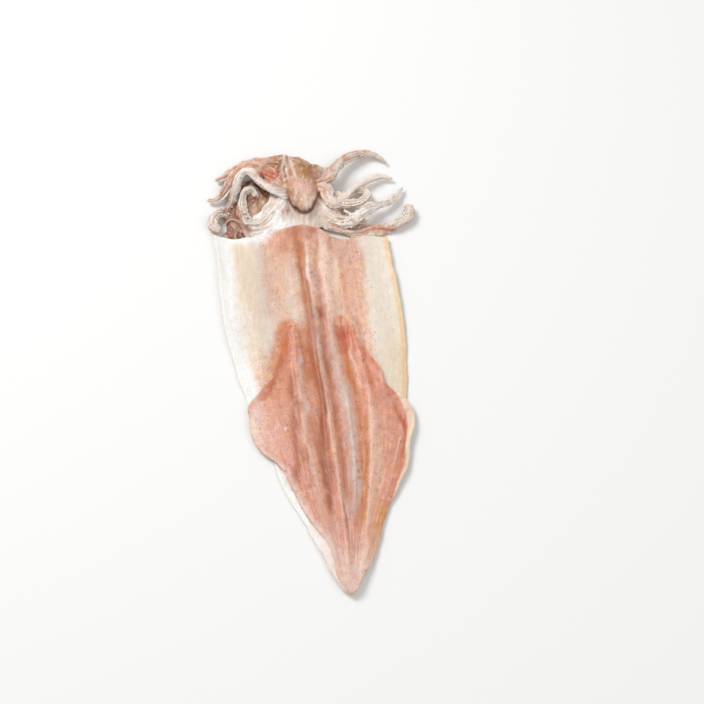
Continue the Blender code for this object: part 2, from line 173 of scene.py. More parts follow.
# %% Outlines of the mantle and the fins
MIDLINE = ((0, 0), (0.19, 0.026), (0.34, 0.022), (0.5, 0.006), (0.66, -0.024), (0.87, -0.040), (1, -0.022))
MANTLE_EDGE = {
    LEFT: (
        (0, -0.022), (0.035, -0.070), (0.10, -0.124), (0.19, -0.211), (0.28, -0.297), (0.37, -0.356),
        (0.50, -0.441), (0.62, -0.505), (0.80, -0.543), (0.93, -0.544), (1, -0.564),
    ),
    RIGHT: (
        (0, 0.028), (0.10, 0.108), (0.19, 0.205), (0.30, 0.306), (0.40, 0.380), (0.49, 0.430),
        (0.61, 0.463), (0.75, 0.472), (0.86, 0.456), (1, 0.436),
    ),
}
# The front edge gives a share of the length for each share of the front width
FRONT_EDGE = (
    (-0.57, 0.984), (-0.43, 0.970), (-0.24, 0.972), (-0.14, 0.977), (-0.02, 0.981), (0.06, 0.969),
    (0.12, 0.953), (0.18, 0.942), (0.26, 0.937), (0.36, 0.940), (0.45, 0.927),
)
FIN_EDGE = {
    LEFT: (
        (0, -0.018), (0.045, -0.060), (0.11, -0.080), (0.20, -0.186), (0.27, -0.250), (0.34, -0.318),
        (0.375, -0.400), (0.41, -0.434), (0.46, -0.446), (0.50, -0.443), (0.53, -0.380), (0.556, -0.308),
        (0.59, -0.264), (0.64, -0.224), (0.69, -0.194), (0.72, -0.160),
    ),
    RIGHT: (
        (0, 0.030), (0.03, 0.062), (0.055, 0.098), (0.10, 0.158), (0.15, 0.198), (0.22, 0.278),
        (0.275, 0.350), (0.30, 0.386), (0.36, 0.418), (0.42, 0.460), (0.445, 0.456), (0.485, 0.404),
        (0.52, 0.326), (0.56, 0.302), (0.60, 0.256), (0.65, 0.200), (0.69, 0.186), (0.715, 0.150),
    ),
}
# How far beside the midline a fin grows from the mantle
FIN_ROOT = ((0, 0.004), (0.15, 0.030), (0.40, 0.070), (0.60, 0.086), (0.72, 0.110))
FIN_FRONT = 0.72


def side(points, y):
    """The X of an outline or a track at this Y."""
    return FRONT_WIDTH * through(points, y / MANTLE_LENGTH)


half_way = MANTLE_LENGTH / 2
width_there = side(MANTLE_EDGE[RIGHT], half_way) - side(MANTLE_EDGE[LEFT], half_way)
print("width at half length", round(float(width_there) / MM, 1), "mm")

# %% [markdown]
# ## Folds
#
# As the flesh dries it shrinks across and buckles into long folds, which run together
# towards the tail. A fold is a soft ridge or valley along a track: its height falls off to both
# sides. Under them all the sheet has slow waves, its edges curl up, and it rises over the neck.

# %% The long folds and how the mantle lies
FLESH = 2.7 * MM
EDGE_FLESH = 1.5 * MM
TAIL_FLESH = 4.2 * MM
WAVE_HEIGHT = 1.3 * MM
EDGE_LIFT = 0.6 * MM
NECK_HEIGHT = 5.2 * MM
# Track, half width, height, and the shares of the length where the fold starts and ends
FOLDS = (
    (((0, 0), (0.19, 0.002), (0.34, -0.002), (0.5, -0.011), (0.58, -0.019), (0.7, -0.030)),
     2.6 * MM, 1.4 * MM, 0.02, 0.68),
    (((0.5, -0.010), (0.75, -0.012), (1, -0.010)), 4.5 * MM, 0.7 * MM, 0.62, 1.10),
    (((0, -0.01), (0.22, -0.140), (0.45, -0.153), (0.68, -0.150)), 2.8 * MM, 1.5 * MM, 0.06, 0.73),
    (((0, 0.01), (0.25, 0.095), (0.45, 0.100), (0.70, 0.060), (1, 0.085)), 3.4 * MM, 1.3 * MM, 0.08, 1.05),
    (((0, 0.02), (0.25, 0.165), (0.45, 0.222), (0.72, 0.170)), 3.0 * MM, 1.4 * MM, 0.10, 0.74),
    (((0, 0.0), (0.25, -0.056), (0.34, -0.062), (0.42, -0.047), (0.50, -0.032), (0.58, -0.045),
      (0.75, -0.062), (1, -0.08)), 2.8 * MM, -0.9 * MM, 0.08, 1.0),
    (((0, 0.01), (0.25, 0.130), (0.45, 0.155), (0.72, 0.130), (1, 0.165)), 2.8 * MM, -0.8 * MM, 0.08, 0.80),
    (((0.5, -0.33), (0.75, -0.36), (1, -0.34)), 7.0 * MM, 1.1 * MM, 0.50, 1.05),
    (((0.5, 0.28), (0.75, 0.30), (1, 0.27)), 6.5 * MM, 1.2 * MM, 0.45, 1.05),
)
FOLD_FADE = 0.06


def folds(x, y):
    """How far the long folds raise or sink the flesh."""
    v = y / MANTLE_LENGTH
    total = np.zeros_like(x)
    for track, half_width, height, start, end in FOLDS:
        fade = window(start, start + FOLD_FADE, end - FOLD_FADE, end, v)
        total += height * fade * bell(x - side(track, y), half_width)
    return total


def lie(x, y):
    """Height of the mantle's underside over the floor, before it settles."""
    v = y / MANTLE_LENGTH
    waves = WAVE_HEIGHT * np.sin(x / (17 * MM) + 0.8 + y / (60 * MM)) * np.cos(y / (31 * MM) + 0.4)
    from_left = np.maximum(x - side(MANTLE_EDGE[LEFT], y), 0)
    from_right = np.maximum(side(MANTLE_EDGE[RIGHT], y) - x, 0)
    left_curl = (EDGE_LIFT + 3.4 * MM * ease(0.45, 1, v)) * np.exp(-from_left / (7 * MM))
    right_curl = (EDGE_LIFT + 1.8 * MM * ease(0.55, 0.95, v)) * np.exp(-from_right / (6 * MM))
    over_neck = NECK_HEIGHT * np.exp(-(((x + 4 * MM) / (24 * MM)) ** 4)) * ease(0.84, 1, v)
    return np.maximum(waves, 0) + left_curl + right_curl + over_neck


def flesh(x, y):
    """Thickness: thickest at the tail, thinner towards the free edges."""
    inside = np.minimum(x - side(MANTLE_EDGE[LEFT], y), side(MANTLE_EDGE[RIGHT], y) - x)
    body = EDGE_FLESH + (FLESH - EDGE_FLESH) * ease(0, 16 * MM, inside)
    return body + (TAIL_FLESH - EDGE_FLESH) * (1 - ease(0, 0.16, y / MANTLE_LENGTH))


def mantle_top(x, y):
    """The skin side, without its creases."""
    return lie(x, y) + flesh(x, y) + folds(x, y)


def mantle_underside(x, y):
    """The inner face follows half of each ridge and lies flat under the valleys."""
    return np.maximum(lie(x, y) + 0.5 * np.maximum(folds(x, y), 0) - 0.15 * MM, 0)


print("height over the pen", round(float(mantle_top(np.array([0.0]), np.array([0.12]))[0]) / MM, 1), "mm")

# %% [markdown]
# ## Creases and pores
#
# Between the big folds the skin is finely creased along its length, and it has shallow
# dimples. The creases follow a coordinate that shrinks with the width of the body, so they
# all meet at the tail. This relief is real geometry, because it catches light at the edges.


# %% Fine relief of the skin
def across(x, y):
    """-1 at the left edge, 0 on the midline and 1 at the right edge."""
    from_middle = x - side(MIDLINE, y)
    left_half = np.maximum(side(MIDLINE, y) - side(MANTLE_EDGE[LEFT], y), MM)
    right_half = np.maximum(side(MANTLE_EDGE[RIGHT], y) - side(MIDLINE, y), MM)
    return from_middle / np.where(from_middle < 0, left_half, right_half)


def creases(x, y, seed):
    """Fine lengthwise creases, stronger towards the tail and the midline, with dimples among them."""
    u = across(x, y)
    v = y / MANTLE_LENGTH
    wander = 0.05 * noise(u * 3, v * 9, seed)
    lines = rough((u + wander) * 17, v * 7, seed + 5)
    finer = noise((u + wander) * 46, v * 16, seed + 9)
    towards_tail = (1 - ease(0.2, 0.75, v)) * ease(0.03, 0.25, v)
    strength = 0.07 + 0.10 * towards_tail + 0.07 * bell(u, 0.4)
    dimples = rough(x / (5 * MM), y / (7 * MM), seed + 13)
    pits = np.minimum(noise(x / (1.7 * MM), y / (2.3 * MM), seed + 17), 0)
    pen = x - side(MIDLINE, y) - 1.2 * MM
    ridge = 0.22 * bell(pen, 0.7 * MM) - 0.5 * bell(pen + 3.4 * MM, 2.6 * MM)
    ridge = ridge * window(0.70, 0.80, 0.90, 0.97, v)
    return (lines * strength + finer * 0.07 + dimples * 0.12 + pits * 0.10 + ridge) * MM


print("crease height", round(float(creases(np.array([0.01]), np.array([0.1]), 3)[0] / MM), 3), "mm")

# %% [markdown]
# ## From formulas to a sheet
#
# Near the rim of a sheet its rows of points crowd together, and there its two faces curve in
# to meet, so that the edge of the flesh is round and not cut square.


# %% Round the rim of a sheet
EDGE_STEPS = (0, 0.12, 0.35, 0.7)
EDGE_DEPTH = 0.8 * MM
TIP_DEPTH = 2.6 * MM
TIP_LENGTH = 5 * MM


def crowded(count, length):
    """Places from 0 to 1 with a few extra ones close to both ends, at EDGE_STEPS millimetres from them."""
    near = np.array(EDGE_STEPS) * MM / length
    inner = np.linspace(near[-1] * 1.6, 1 - near[-1] * 1.6, count)
    return np.concatenate([near, inner, 1 - near[::-1]])


def quarter_circle(share, least):
    """Rises from 0 to 1 like the side of a ball, and is never less than the root of `least`."""
    return np.sqrt(np.clip(1 - (1 - np.clip(share, 0, 1)) ** 2, least, 1))


def tail_end(y):
    """Share of the full width near the tail's tip, which is round seen from above."""
    return quarter_circle(y / TIP_LENGTH, 0.01)


def round_edge(inside, depth):
    """Share of the full thickness at this distance from the rim."""
    return quarter_circle(inside / depth, 0.004)


def edge_depth(y):
    """How far in from the rim the flesh reaches its full thickness. The thick tail is rounder."""
    return EDGE_DEPTH + (TIP_DEPTH - EDGE_DEPTH) * (1 - ease(0, 22 * MM, y))


print("edge steps", EDGE_STEPS, "mm")

# %% [markdown]
# A sheet is one grid of points laid twice, for the skin and for the inner face, with a wall
# round the rim. A Solidify modifier would give it one thickness all over, while here a formula
# sets the thickness at each point.


# %% Build a closed sheet
def new_mesh(name, points, faces=(), edges=()):
    """A mesh in the shared frame. The points are in the squid's own coordinates."""
    mesh = bpy.data.meshes.new(name)
    mesh.from_pydata((np.asarray(points) - FRAME_ORIGIN).tolist(), edges, faces)
    mesh.update()
    return mesh


def new_piece(name, points, faces):
    """A smooth mesh object."""
    piece = new_object(name, new_mesh(name, points, faces))
    piece.data.shade_smooth()
    return piece


def sheet(name, x, y, top, underside, inside, depth):
    """A closed solid over a grid, thinned towards its rim. It has slots for skin and inner face."""
    middle = (top + underside) / 2
    half = (top - underside) / 2 * round_edge(inside, depth)
    points = np.concatenate([np.stack([x, y, z], -1).reshape(-1, 3) for z in (middle + half, middle - half)])
    under = x.size
    index = np.arange(under).reshape(x.shape)
    a, b, d, e = index[:-1, :-1], index[:-1, 1:], index[1:, :-1], index[1:, 1:]
    upper = np.stack([a, b, e, d], -1).reshape(-1, 4)
    lower = np.stack([a, d, e, b], -1).reshape(-1, 4) + under
    rim = np.concatenate([index[0], index[1:, -1], index[-1, -2::-1], index[-2:0:-1, 0]])
    following = np.roll(rim, -1)
    wall = np.stack([rim, rim + under, following + under, following], -1)
    piece = new_piece(name, points, np.concatenate([upper, lower, wall]).tolist())
    material_of_face = np.repeat([0, 1, 0], [len(upper), len(lower), len(wall)]).astype(np.int32)
    piece.data.polygons.foreach_set("material_index", material_of_face)
    return piece


print("the sheet helper is ready")

# %% [markdown]
# ## The mantle
#
# Its outline gets a slight waver, as no knife cuts flesh straight. On the underside, the side
# that faced the guts, a shallow groove marks where the pen was.

# %% Make the mantle
MANTLE_COLUMNS = 118
MANTLE_ROWS = 262
CUT_WAVER = 0.45 * MM
GROOVE_DEPTH = 0.5 * MM
GROOVE_HALF_WIDTH = 3.2 * MM
CREASE_SEED = 31

u = 2 * crowded(MANTLE_COLUMNS, FRONT_WIDTH) - 1
v = crowded(MANTLE_ROWS, MANTLE_LENGTH)
u, v = np.meshgrid(u, v)
front_left = side(MANTLE_EDGE[LEFT], MANTLE_LENGTH)
front_right = side(MANTLE_EDGE[RIGHT], MANTLE_LENGTH)
front = np.where(u < 0, front_left * -u, front_right * u)
y = MANTLE_LENGTH * v * through(FRONT_EDGE, front / FRONT_WIDTH)
waver = CUT_WAVER * rough(y / (9 * MM), np.sign(u), 21) * ease(0.02, 0.1, v)
middle = side(MIDLINE, y)
edge = np.where(u < 0, side(MANTLE_EDGE[LEFT], y), side(MANTLE_EDGE[RIGHT], y)) + waver
edge = middle + (edge - middle) * tail_end(y)
x = middle + (edge - middle) * np.abs(u)
y = y + 0.5 * MM * rough(x / (7 * MM), x * 0, 22) * ease(0.96, 1, v)
inside = np.minimum(np.abs(edge - x), MANTLE_LENGTH * np.minimum(v, 1 - v))
top = mantle_top(x, y) + creases(x, y, CREASE_SEED)
groove = GROOVE_DEPTH * bell(x - side(MIDLINE, y), GROOVE_HALF_WIDTH) * ease(0.05, 0.15, v)
grainy = 0.08 * MM * (1 + rough(x / (4 * MM), y / (9 * MM), 41))
underside = mantle_underside(x, y) + groove + grainy
mantle = sheet("mantle", x, y, top, underside, inside, edge_depth(y))
print("mantle faces", len(mantle.data.polygons))

# %% [markdown]
# ## The fins
#
# Each fin is a thinner sheet of muscle that grows out of the mantle beside the midline. Here
# it is stuck down by drying, and only its margin stands free. The margin of the right one is
# rolled up. Both fins could be pressed out of the mantle's own grid, but then their free edge
# could not overhang, so each is a sheet of its own that follows the mantle's height.

# %% Shape of the fins
FIN_FLESH = 1.8 * MM
FIN_STICKS = 0.3 * MM
FIN_EDGE_LIFT = 1.3 * MM
LIP_HEIGHT = {LEFT: 0.5 * MM, RIGHT: 1.4 * MM}


def inside_fin(x, y, hand):
    """How far a place lies in from the fin's free margin."""
    return hand * (side(FIN_EDGE[hand], y) - x)


def fin_root(y, hand):
    """Where the fin grows from the mantle, beside the midline."""
    return side(MIDLINE, y) + hand * side(FIN_ROOT, y)


def fin_top(x, y, hand):
    """The fin's upper face leaves the mantle gently and ends in a rippled, turned-up margin."""
    v = y / MANTLE_LENGTH
    inside = inside_fin(x, y, hand)
    rise = FIN_FLESH * ease(0, 9 * MM, hand * (x - fin_root(y, hand))) - FIN_STICKS
    ripple = 0.4 * MM * np.sin(y / (5.2 * MM) + hand) * np.exp(-inside / (5 * MM))
    lip = LIP_HEIGHT[hand] * np.exp(-inside / (3.2 * MM)) * window(0.24, 0.34, 0.46, 0.52, v)
    lift = FIN_EDGE_LIFT * (1 - ease(0, 8 * MM, inside)) * ease(0.10, 0.40, v)
    droop = 0.30 * np.maximum(hand * (x - side(MANTLE_EDGE[hand], y)), 0)
    settled = (1 - 0.6 * (1 - ease(0, 0.10, v))) * (1 - 0.95 * ease(0.57, 0.68, v))
    return mantle_top(x, y) + (rise + ripple + lip + lift) * settled - droop


def fin_underside(x, y, hand):
    """The fin is grown onto the mantle, apart from its free margin."""
    grown = mantle_top(x, y) - FIN_STICKS
    free = fin_top(x, y, hand) - FIN_FLESH
    loose = 1 - ease(3 * MM, 9 * MM, inside_fin(x, y, hand))
    return np.maximum(grown + (free - grown) * loose, 0.2 * MM)


print("fin lobes reach", [round(float(side(FIN_EDGE[hand], 0.11)) / MM, 1) for hand in (LEFT, RIGHT)], "mm")

# %% [markdown]
# A fin's grid runs from its root to its margin and from the tail to the front lobe. The margin
# dried fastest, so its crinkles are closer and they fade inwards. Noise that is slow across
# the fin and quick along it draws them.

# %% Make the fins
FIN_COLUMNS = 56
FIN_ROWS = 190
FIN_REACH = 40 * MM
CRINKLE = 0.22 * MM
THINNEST = 0.2 * MM


def make_fin(name, hand):
    """One fin, from the tail to its front lobe."""
    out = crowded(FIN_COLUMNS, FIN_REACH)
    v = FIN_FRONT * (0.01 + 0.985 * crowded(FIN_ROWS, FIN_FRONT * MANTLE_LENGTH))
    out, v = np.meshgrid(out, v)
    y = MANTLE_LENGTH * v
    root = fin_root(y, hand)
    tip = side(FIN_EDGE[hand], y) + 0.5 * MM * rough(y / (6 * MM), y * 0, 60 + hand)
    x = side(MIDLINE, y) + (root + (tip - root) * out - side(MIDLINE, y)) * tail_end(y - 1.2 * MM)
    inside = np.minimum(np.abs(tip - x), MANTLE_LENGTH * (v[-1, 0] - v))
    crinkle = CRINKLE * rough(x / (9 * MM), y / (2.6 * MM), 70 + hand) * np.exp(-inside / (9 * MM))
    top = fin_top(x, y, hand) + creases(x, y, CREASE_SEED) + crinkle
    underside = fin_underside(x, y, hand)
    middle = (top + underside) / 2
    half = np.maximum(top - underside, THINNEST) / 2
    return sheet(name, x, y, middle + half, middle - half, inside, EDGE_DEPTH)


fins = {LEFT: make_fin("fin_left", LEFT), RIGHT: make_fin("fin_right", RIGHT)}
print("fin faces", [len(fin.data.polygons) for fin in fins.values()])

# %% [markdown]
# ## The arms
#
# Each arm follows a path: a few given points, from its root in the head to its tip,
# with a smooth curve through them. Geometry Nodes sweep a flattened circle along the path and
# scale it by a width that is stored on the path's points. A node tree suits this well,
# because the eight arms and the two tentacles share it and only their paths differ.

# %% Paths of the arms and the tentacles
# Route in millimetres, widths at root and tip as shares of the arm width, the side that the suckers
# look to, in degrees from level on its right, and the share of the arm behind which they begin
ARMS = {
    "left_1": (
        ((-5, 271.5, 6.5), (-15.6, 272.4, 9.5), (-22.4, 275.4, 11.5), (-28.4, 281.2, 12.5),
         (-33.5, 288, 12.5), (-37.6, 290.6, 11.5), (-41.5, 288.1, 10), (-44.5, 282, 8),
         (-46.8, 275.6, 6.3), (-49.6, 269.8, 5), (-53.9, 266.4, 3.8), (-58.6, 266.7, 3)),
        0.76, 0.34, 150, 0.50),
    "left_2": (
        ((-5, 279, 5), (-13.5, 273, 5), (-19.5, 264.5, 4.7), (-25.5, 257, 4.5), (-33, 252.6, 4.2),
         (-39.6, 255.2, 4.5), (-41.7, 262.6, 5.2), (-41.6, 271, 6), (-39, 278.6, 6), (-34, 280.4, 4.8),
         (-31, 275.4, 3.7)),
        1.0, 0.30, 55, 0.30),
    "left_3": (
        ((-4.8, 274.7, 10), (-11.8, 276.5, 11.5), (-17.9, 281.6, 12.5), (-23.2, 288, 12.5),
         (-29.1, 293, 11.8), (-35.3, 294.7, 10.2), (-41.6, 293.1, 8.3), (-47, 288.7, 6.4),
         (-51.2, 282.7, 5), (-55.4, 277.2, 4), (-60.2, 275.1, 3.3), (-64.4, 276.5, 3)),
        1.12, 0.26, 215, 0.35),
    "left_4": (
        ((0, 281, 10), (-3.3, 287.8, 11), (-8.9, 293, 10.8), (-15.3, 296, 9.8), (-21.9, 297.5, 8.2),
         (-28.6, 298.4, 6.8), (-35.2, 299.1, 5.6), (-41.4, 298, 4.7), (-47.3, 295.6, 4),
         (-52.6, 292.3, 3.5), (-58.1, 290.5, 3)),
        1.08, 0.24, 205, 0.45),
    "right_1": (
        ((2.5, 277.3, 9), (10.7, 278, 9.8), (16.8, 282.5, 9.5), (22.1, 288.3, 8.6), (27.3, 293.6, 7.4),
         (33.1, 297.1, 6.4), (39.3, 299.1, 5.2), (46.1, 299.3, 4.3), (52.1, 296.3, 3.5), (56.9, 291.4, 3)),
        1.0, 0.24, 10, 0.24),
    "right_2": (
        ((3, 272, 8), (10.1, 275.1, 9), (14.3, 271.9, 9), (15, 265.7, 8.4), (18.5, 261.4, 8),
         (24.8, 264.8, 8), (32.5, 271.8, 7), (41.1, 277.5, 5.6), (50.8, 280.4, 4.2), (59.3, 278.6, 3)),
        0.86, 0.24, 215, 0.60),
    "right_3": (
        ((5, 279, 6), (12, 272, 6), (17, 264.6, 6.6), (23.4, 260.8, 7.2), (30.8, 260.4, 7.2),
         (37.6, 262.4, 6.2), (41, 267.4, 5.2), (38, 272.2, 4.4), (31.6, 272.4, 3.8), (27, 268.6, 3.2)),
        0.96, 0.30, 120, 0.35),
    "right_4": (
        ((3, 274, 4.5), (8.4, 265.4, 4.4), (12.6, 256.6, 4.6), (19, 250, 5), (26.4, 247.6, 6.6),
         (33.4, 250, 8.2), (39.8, 254.6, 8.4), (47, 257.6, 7), (54.6, 260.6, 5), (60.6, 265.8, 3.6),
         (65, 271.8, 3)),
        0.98, 0.24, 60, 0.30),
}
TENTACLES = {
    "tentacle_left": (
        (-5, 270, 3.5), (-13, 261, 3), (-22, 253.6, 3), (-31.6, 249.8, 3), (-41.6, 250.6, 3),
        (-48, 255.6, 3.5), (-50.6, 262.4, 4), (-56, 264.9, 4.3), (-61, 261, 4.4), (-61.6, 254.6, 4.2),
        (-56.6, 251.4, 4.2),
    ),
    "tentacle_right": (
        (3, 268, 3.5), (8, 257, 3), (15, 247.6, 3), (24, 242.6, 3), (33, 241.6, 3), (43, 243.6, 3.4),
        (52, 243, 4), (60, 245.4, 4.4), (66, 251, 4.2), (67.4, 258, 3.6),
    ),
}
# Shreds of skin that tore off and dried into threads
SHREDS = (
    ((-40, 246, 3.2), (-41.6, 250.6, 4.6), (-44.6, 255.6, 5.6), (-48.6, 258.4, 5.8), (-52.6, 257.6, 5.0),
     (-54.4, 254.6, 3.6)),
    ((-12.4, 281, 15.0), (-13.4, 286, 15.6), (-12.2, 290.6, 14.6), (-10.2, 293.6, 12.4)),
    ((24, 256, 7.2), (28.4, 252.2, 7.0), (31, 247.4, 5.8), (36.2, 246.2, 4.6), (40.4, 249.6, 4.4)),
)
print("routes", len(ARMS) + len(TENTACLES) + len(SHREDS))

# %% [markdown]
# An arm dries thin and lumpy, and it twists a little, so its width and the side that its
# suckers look to both wander along the path. A small class keeps what belongs to one limb.

# %% From a route to a limb
ARM_WIDTH = 12.0 * MM
TENTACLE_WIDTH = 5.6 * MM
SHRED_WIDTH = 2.2 * MM
CLUB_START = 0.66
CLUB_FULL = 0.76
CLUB_LOOKS = 80
PATH_STEP = 1.1 * MM
LIMB_FLATNESS = 0.66
SHRINK = 0.80
LUMPINESS = 0.19
TWIST = 0.55
NO_SUCKERS = 2.0


def travelled(points):
    """The distance along a line of points, up to each of them."""
    return np.concatenate([[0], np.cumsum(np.linalg.norm(np.diff(points, axis=0), axis=1))])


def smooth_route(points):
    """Evenly spaced places on a smooth curve through the route's points."""
    points = np.array(points, float) * MM
    reach = travelled(points)
    fine = np.linspace(0, reach[-1], 1500)
    dense = np.stack([through(list(zip(reach, points[:, k])), fine) for k in range(3)], -1)
    along = travelled(dense)
    even = np.linspace(0, along[-1], int(along[-1] / PATH_STEP))
    return np.stack([np.interp(even, along, dense[:, k]) for k in range(3)], -1)


class Limb:
    """An arm or a tentacle: its path, its width along it, and the directions across and up at each point."""

    def __init__(self, name, points, width, looks, bare):
        self.name = name
        self.bare = bare
        self.path = smooth_route(points)
        self.t = np.linspace(0, 1, len(self.path))
        self.place = np.arange(len(self.path)) * PATH_STEP
        own = self.place * 0 + looks
        lumps = LUMPINESS * rough(self.place / (8 * MM), own, 51) * ease(0, 0.15, self.t)
        rounded_tip = np.sqrt(np.clip((1 - self.t) / 0.012 + 0.05, 0, 1))
        self.width = width(self.t) * rounded_tip * (SHRINK - lumps)
        self.looks = math.radians(looks) + TWIST * noise(self.place / (15 * MM), own, 52)
        ahead = np.gradient(self.path, axis=0)
        ahead /= np.linalg.norm(ahead, axis=1)[:, None]
        self.across = np.cross(ahead, (0, 0, 1))
        self.across /= np.linalg.norm(self.across, axis=1)[:, None]
        self.up = np.cross(self.across, ahead)


def arm_width(root, tip):
    """An arm narrows from its root to its tip."""
    return lambda t: ARM_WIDTH * (tip + (root - tip) * (1 - t) ** 0.75)


def tentacle_width(t):
    """A tentacle is thin and ends in a club."""
    club = ease(CLUB_START, CLUB_FULL, t) * (1 - 0.75 * ease(0.88, 1, t))
    return TENTACLE_WIDTH * (1 - 0.2 * t + 0.75 * club)


def shred_width(t):
    """A thread of skin."""
    return SHRED_WIDTH * (1.2 - 0.4 * t)


arms = [Limb(name, route, arm_width(root, tip), looks, bare)
        for name, (route, root, tip, looks, bare) in ARMS.items()]
tentacles = [Limb(name, route, tentacle_width, CLUB_LOOKS, CLUB_START) for name, route in TENTACLES.items()]
shreds = [Limb("shred", route, shred_width, 90, NO_SUCKERS) for route in SHREDS]
limbs = arms + tentacles + shreds
print("limb lengths in mm", {limb.name: round(PATH_STEP / MM * len(limb.path)) for limb in limbs})

# %% [markdown]
# A node tree is built once here. `store` writes a number on the points of a mesh, and the tree
# reads it back by name. The sockets get plain names, and a modifier's value is set by the
# socket's identifier, which is what Blender calls it inside. Every tree ends by turning its
# copies into real geometry and giving them their material.


# %% Helpers for node trees
def store(mesh, name, kind, values):
    """Writes one value for each point of a mesh."""
    layer = mesh.attributes.new(name, kind, "POINT")
    values = np.ascontiguousarray(values, dtype=np.float32)
    field = {"FLOAT": "value", "FLOAT_VECTOR": "vector", "FLOAT_COLOR": "color"}[kind]
    layer.data.foreach_set(field, values.ravel())


def add(tree, kind, inputs=None, **settings):
    """A node with its settings, and with input sockets set by name or by number."""
    node = tree.nodes.new(kind)
    for key, value in settings.items():
        setattr(node, key, value)
    for key, value in (inputs or {}).items():
        if isinstance(value, bpy.types.NodeSocket):
            tree.links.new(value, node.inputs[key])
        else:
            node.inputs[key].default_value = value
    return node


def math_node(tree, operation, a, b=0.5):
    """The result of one operation on two numbers."""
    return add(tree, "ShaderNodeMath", {0: a, 1: b}, operation=operation).outputs[0]


def geometry_tree(name, sizes):
    """A Geometry Nodes tree with a geometry input and output and one named number for each size."""
    tree = bpy.data.node_groups.new(name, "GeometryNodeTree")
    tree.interface.new_socket("Geometry", in_out="INPUT", socket_type="NodeSocketGeometry")
    tree.interface.new_socket("Geometry", in_out="OUTPUT", socket_type="NodeSocketGeometry")
    for label, value in sizes.items():
        kind = "NodeSocketInt" if isinstance(value, int) else "NodeSocketFloat"
        tree.interface.new_socket(label, in_out="INPUT", socket_type=kind).default_value = value
    return tree, tree.nodes.new("NodeGroupInput").outputs


def end_tree(tree, geometry, material):
    """Ends a tree: copies become real geometry and get their material."""
    real = add(tree, "GeometryNodeRealizeInstances", {"Geometry": geometry})
    finished = add(tree, "GeometryNodeSetMaterial", {"Geometry": real.outputs[0], "Material": material})
    add(tree, "NodeGroupOutput", {"Geometry": finished.outputs[0]})


def grow(name, guide, tree, sizes):
    """Runs a tree on a guide, keeps the result as a plain mesh in a new object, and removes the guide."""
    modifier = guide.modifiers.new("grow", "NODES")
    modifier.node_group = tree
    for socket in tree.interface.items_tree:
        if socket.in_out == "INPUT" and socket.name in sizes:
            modifier[socket.identifier] = sizes[socket.name]
    graph = bpy.context.evaluated_depsgraph_get()
    mesh = bpy.data.meshes.new_from_object(guide.evaluated_get(graph))
    mesh.name = name
    mesh.shade_smooth()
    bpy.data.objects.remove(guide)
    return new_object(name, mesh)


print("node helpers are ready")

# %% [markdown]
# The limb tree turns each path into a curve whose up direction stays level, and sweeps an oval
# along it. The oval is a circle that is pressed flat, since an arm sags as it dries. A curve
# object with a bevel would do as well. The tree shows each step, and its sizes have names.

# %% Sweep the limbs along their paths
LIMB_SIZES = {"Sides": 20, "Flatness": LIMB_FLATNESS}

arm_material = bpy.data.materials.new("arm_skin")
limb_tree, given = geometry_tree("limb_along_a_path", LIMB_SIZES)
paths = add(limb_tree, "GeometryNodeMeshToCurve", {"Mesh": given["Geometry"]})
level = add(limb_tree, "GeometryNodeSetCurveNormal", {"Curve": paths.outputs[0]}, mode="Z_UP")
circle = add(limb_tree, "GeometryNodeCurvePrimitiveCircle", {"Resolution": given["Sides"], "Radius": 0.5})
flat = add(limb_tree, "ShaderNodeCombineXYZ", {"X": 1.0, "Y": given["Flatness"], "Z": 1.0})
oval = add(limb_tree, "GeometryNodeTransform", {"Geometry": circle.outputs[0], "Scale": flat.outputs[0]})
width = add(limb_tree, "GeometryNodeInputNamedAttribute", {"Name": "width"}, data_type="FLOAT")
swept = add(limb_tree, "GeometryNodeCurveToMesh", {
    "Curve": level.outputs[0], "Profile Curve": oval.outputs[0], "Scale": width.outputs[0], "Fill Caps": True,
})
end_tree(limb_tree, swept.outputs[0], arm_material)

path_points = np.concatenate([limb.path for limb in limbs])
path_owner = np.repeat(np.arange(len(limbs)), [len(limb.path) for limb in limbs])
path_edges = [(k, k + 1) for k in range(len(path_points) - 1) if path_owner[k] == path_owner[k + 1]]
guide = new_object("paths", new_mesh("paths", path_points, edges=path_edges))
store(guide.data, "width", "FLOAT", np.concatenate([limb.width for limb in limbs]))
swept_limbs = grow("limbs", guide, limb_tree, LIMB_SIZES)
print("swept limbs", len(swept_limbs.data.polygons), "faces")

# %% [markdown]
# ## The head
#
# The head is a soft dome with a swelling over each eye, and a collar of white flesh joins it
# to the body under the mantle's front edge. These lumps and the limbs overlap. A voxel remesh
# turns them into one skin, as clay would, and some smoothing makes the webs between arms.


# %% Lumps of clay
def tube(rings, sides):
    """Point numbers of rings with equally many points, and the faces between the rings."""
    index = np.arange(rings * sides).reshape(rings, sides)
    after = np.roll(index, -1, axis=1)
    faces = np.stack([index[:-1], index[1:], after[1:], after[:-1]], -1).reshape(-1, 4)
    return index, after, faces


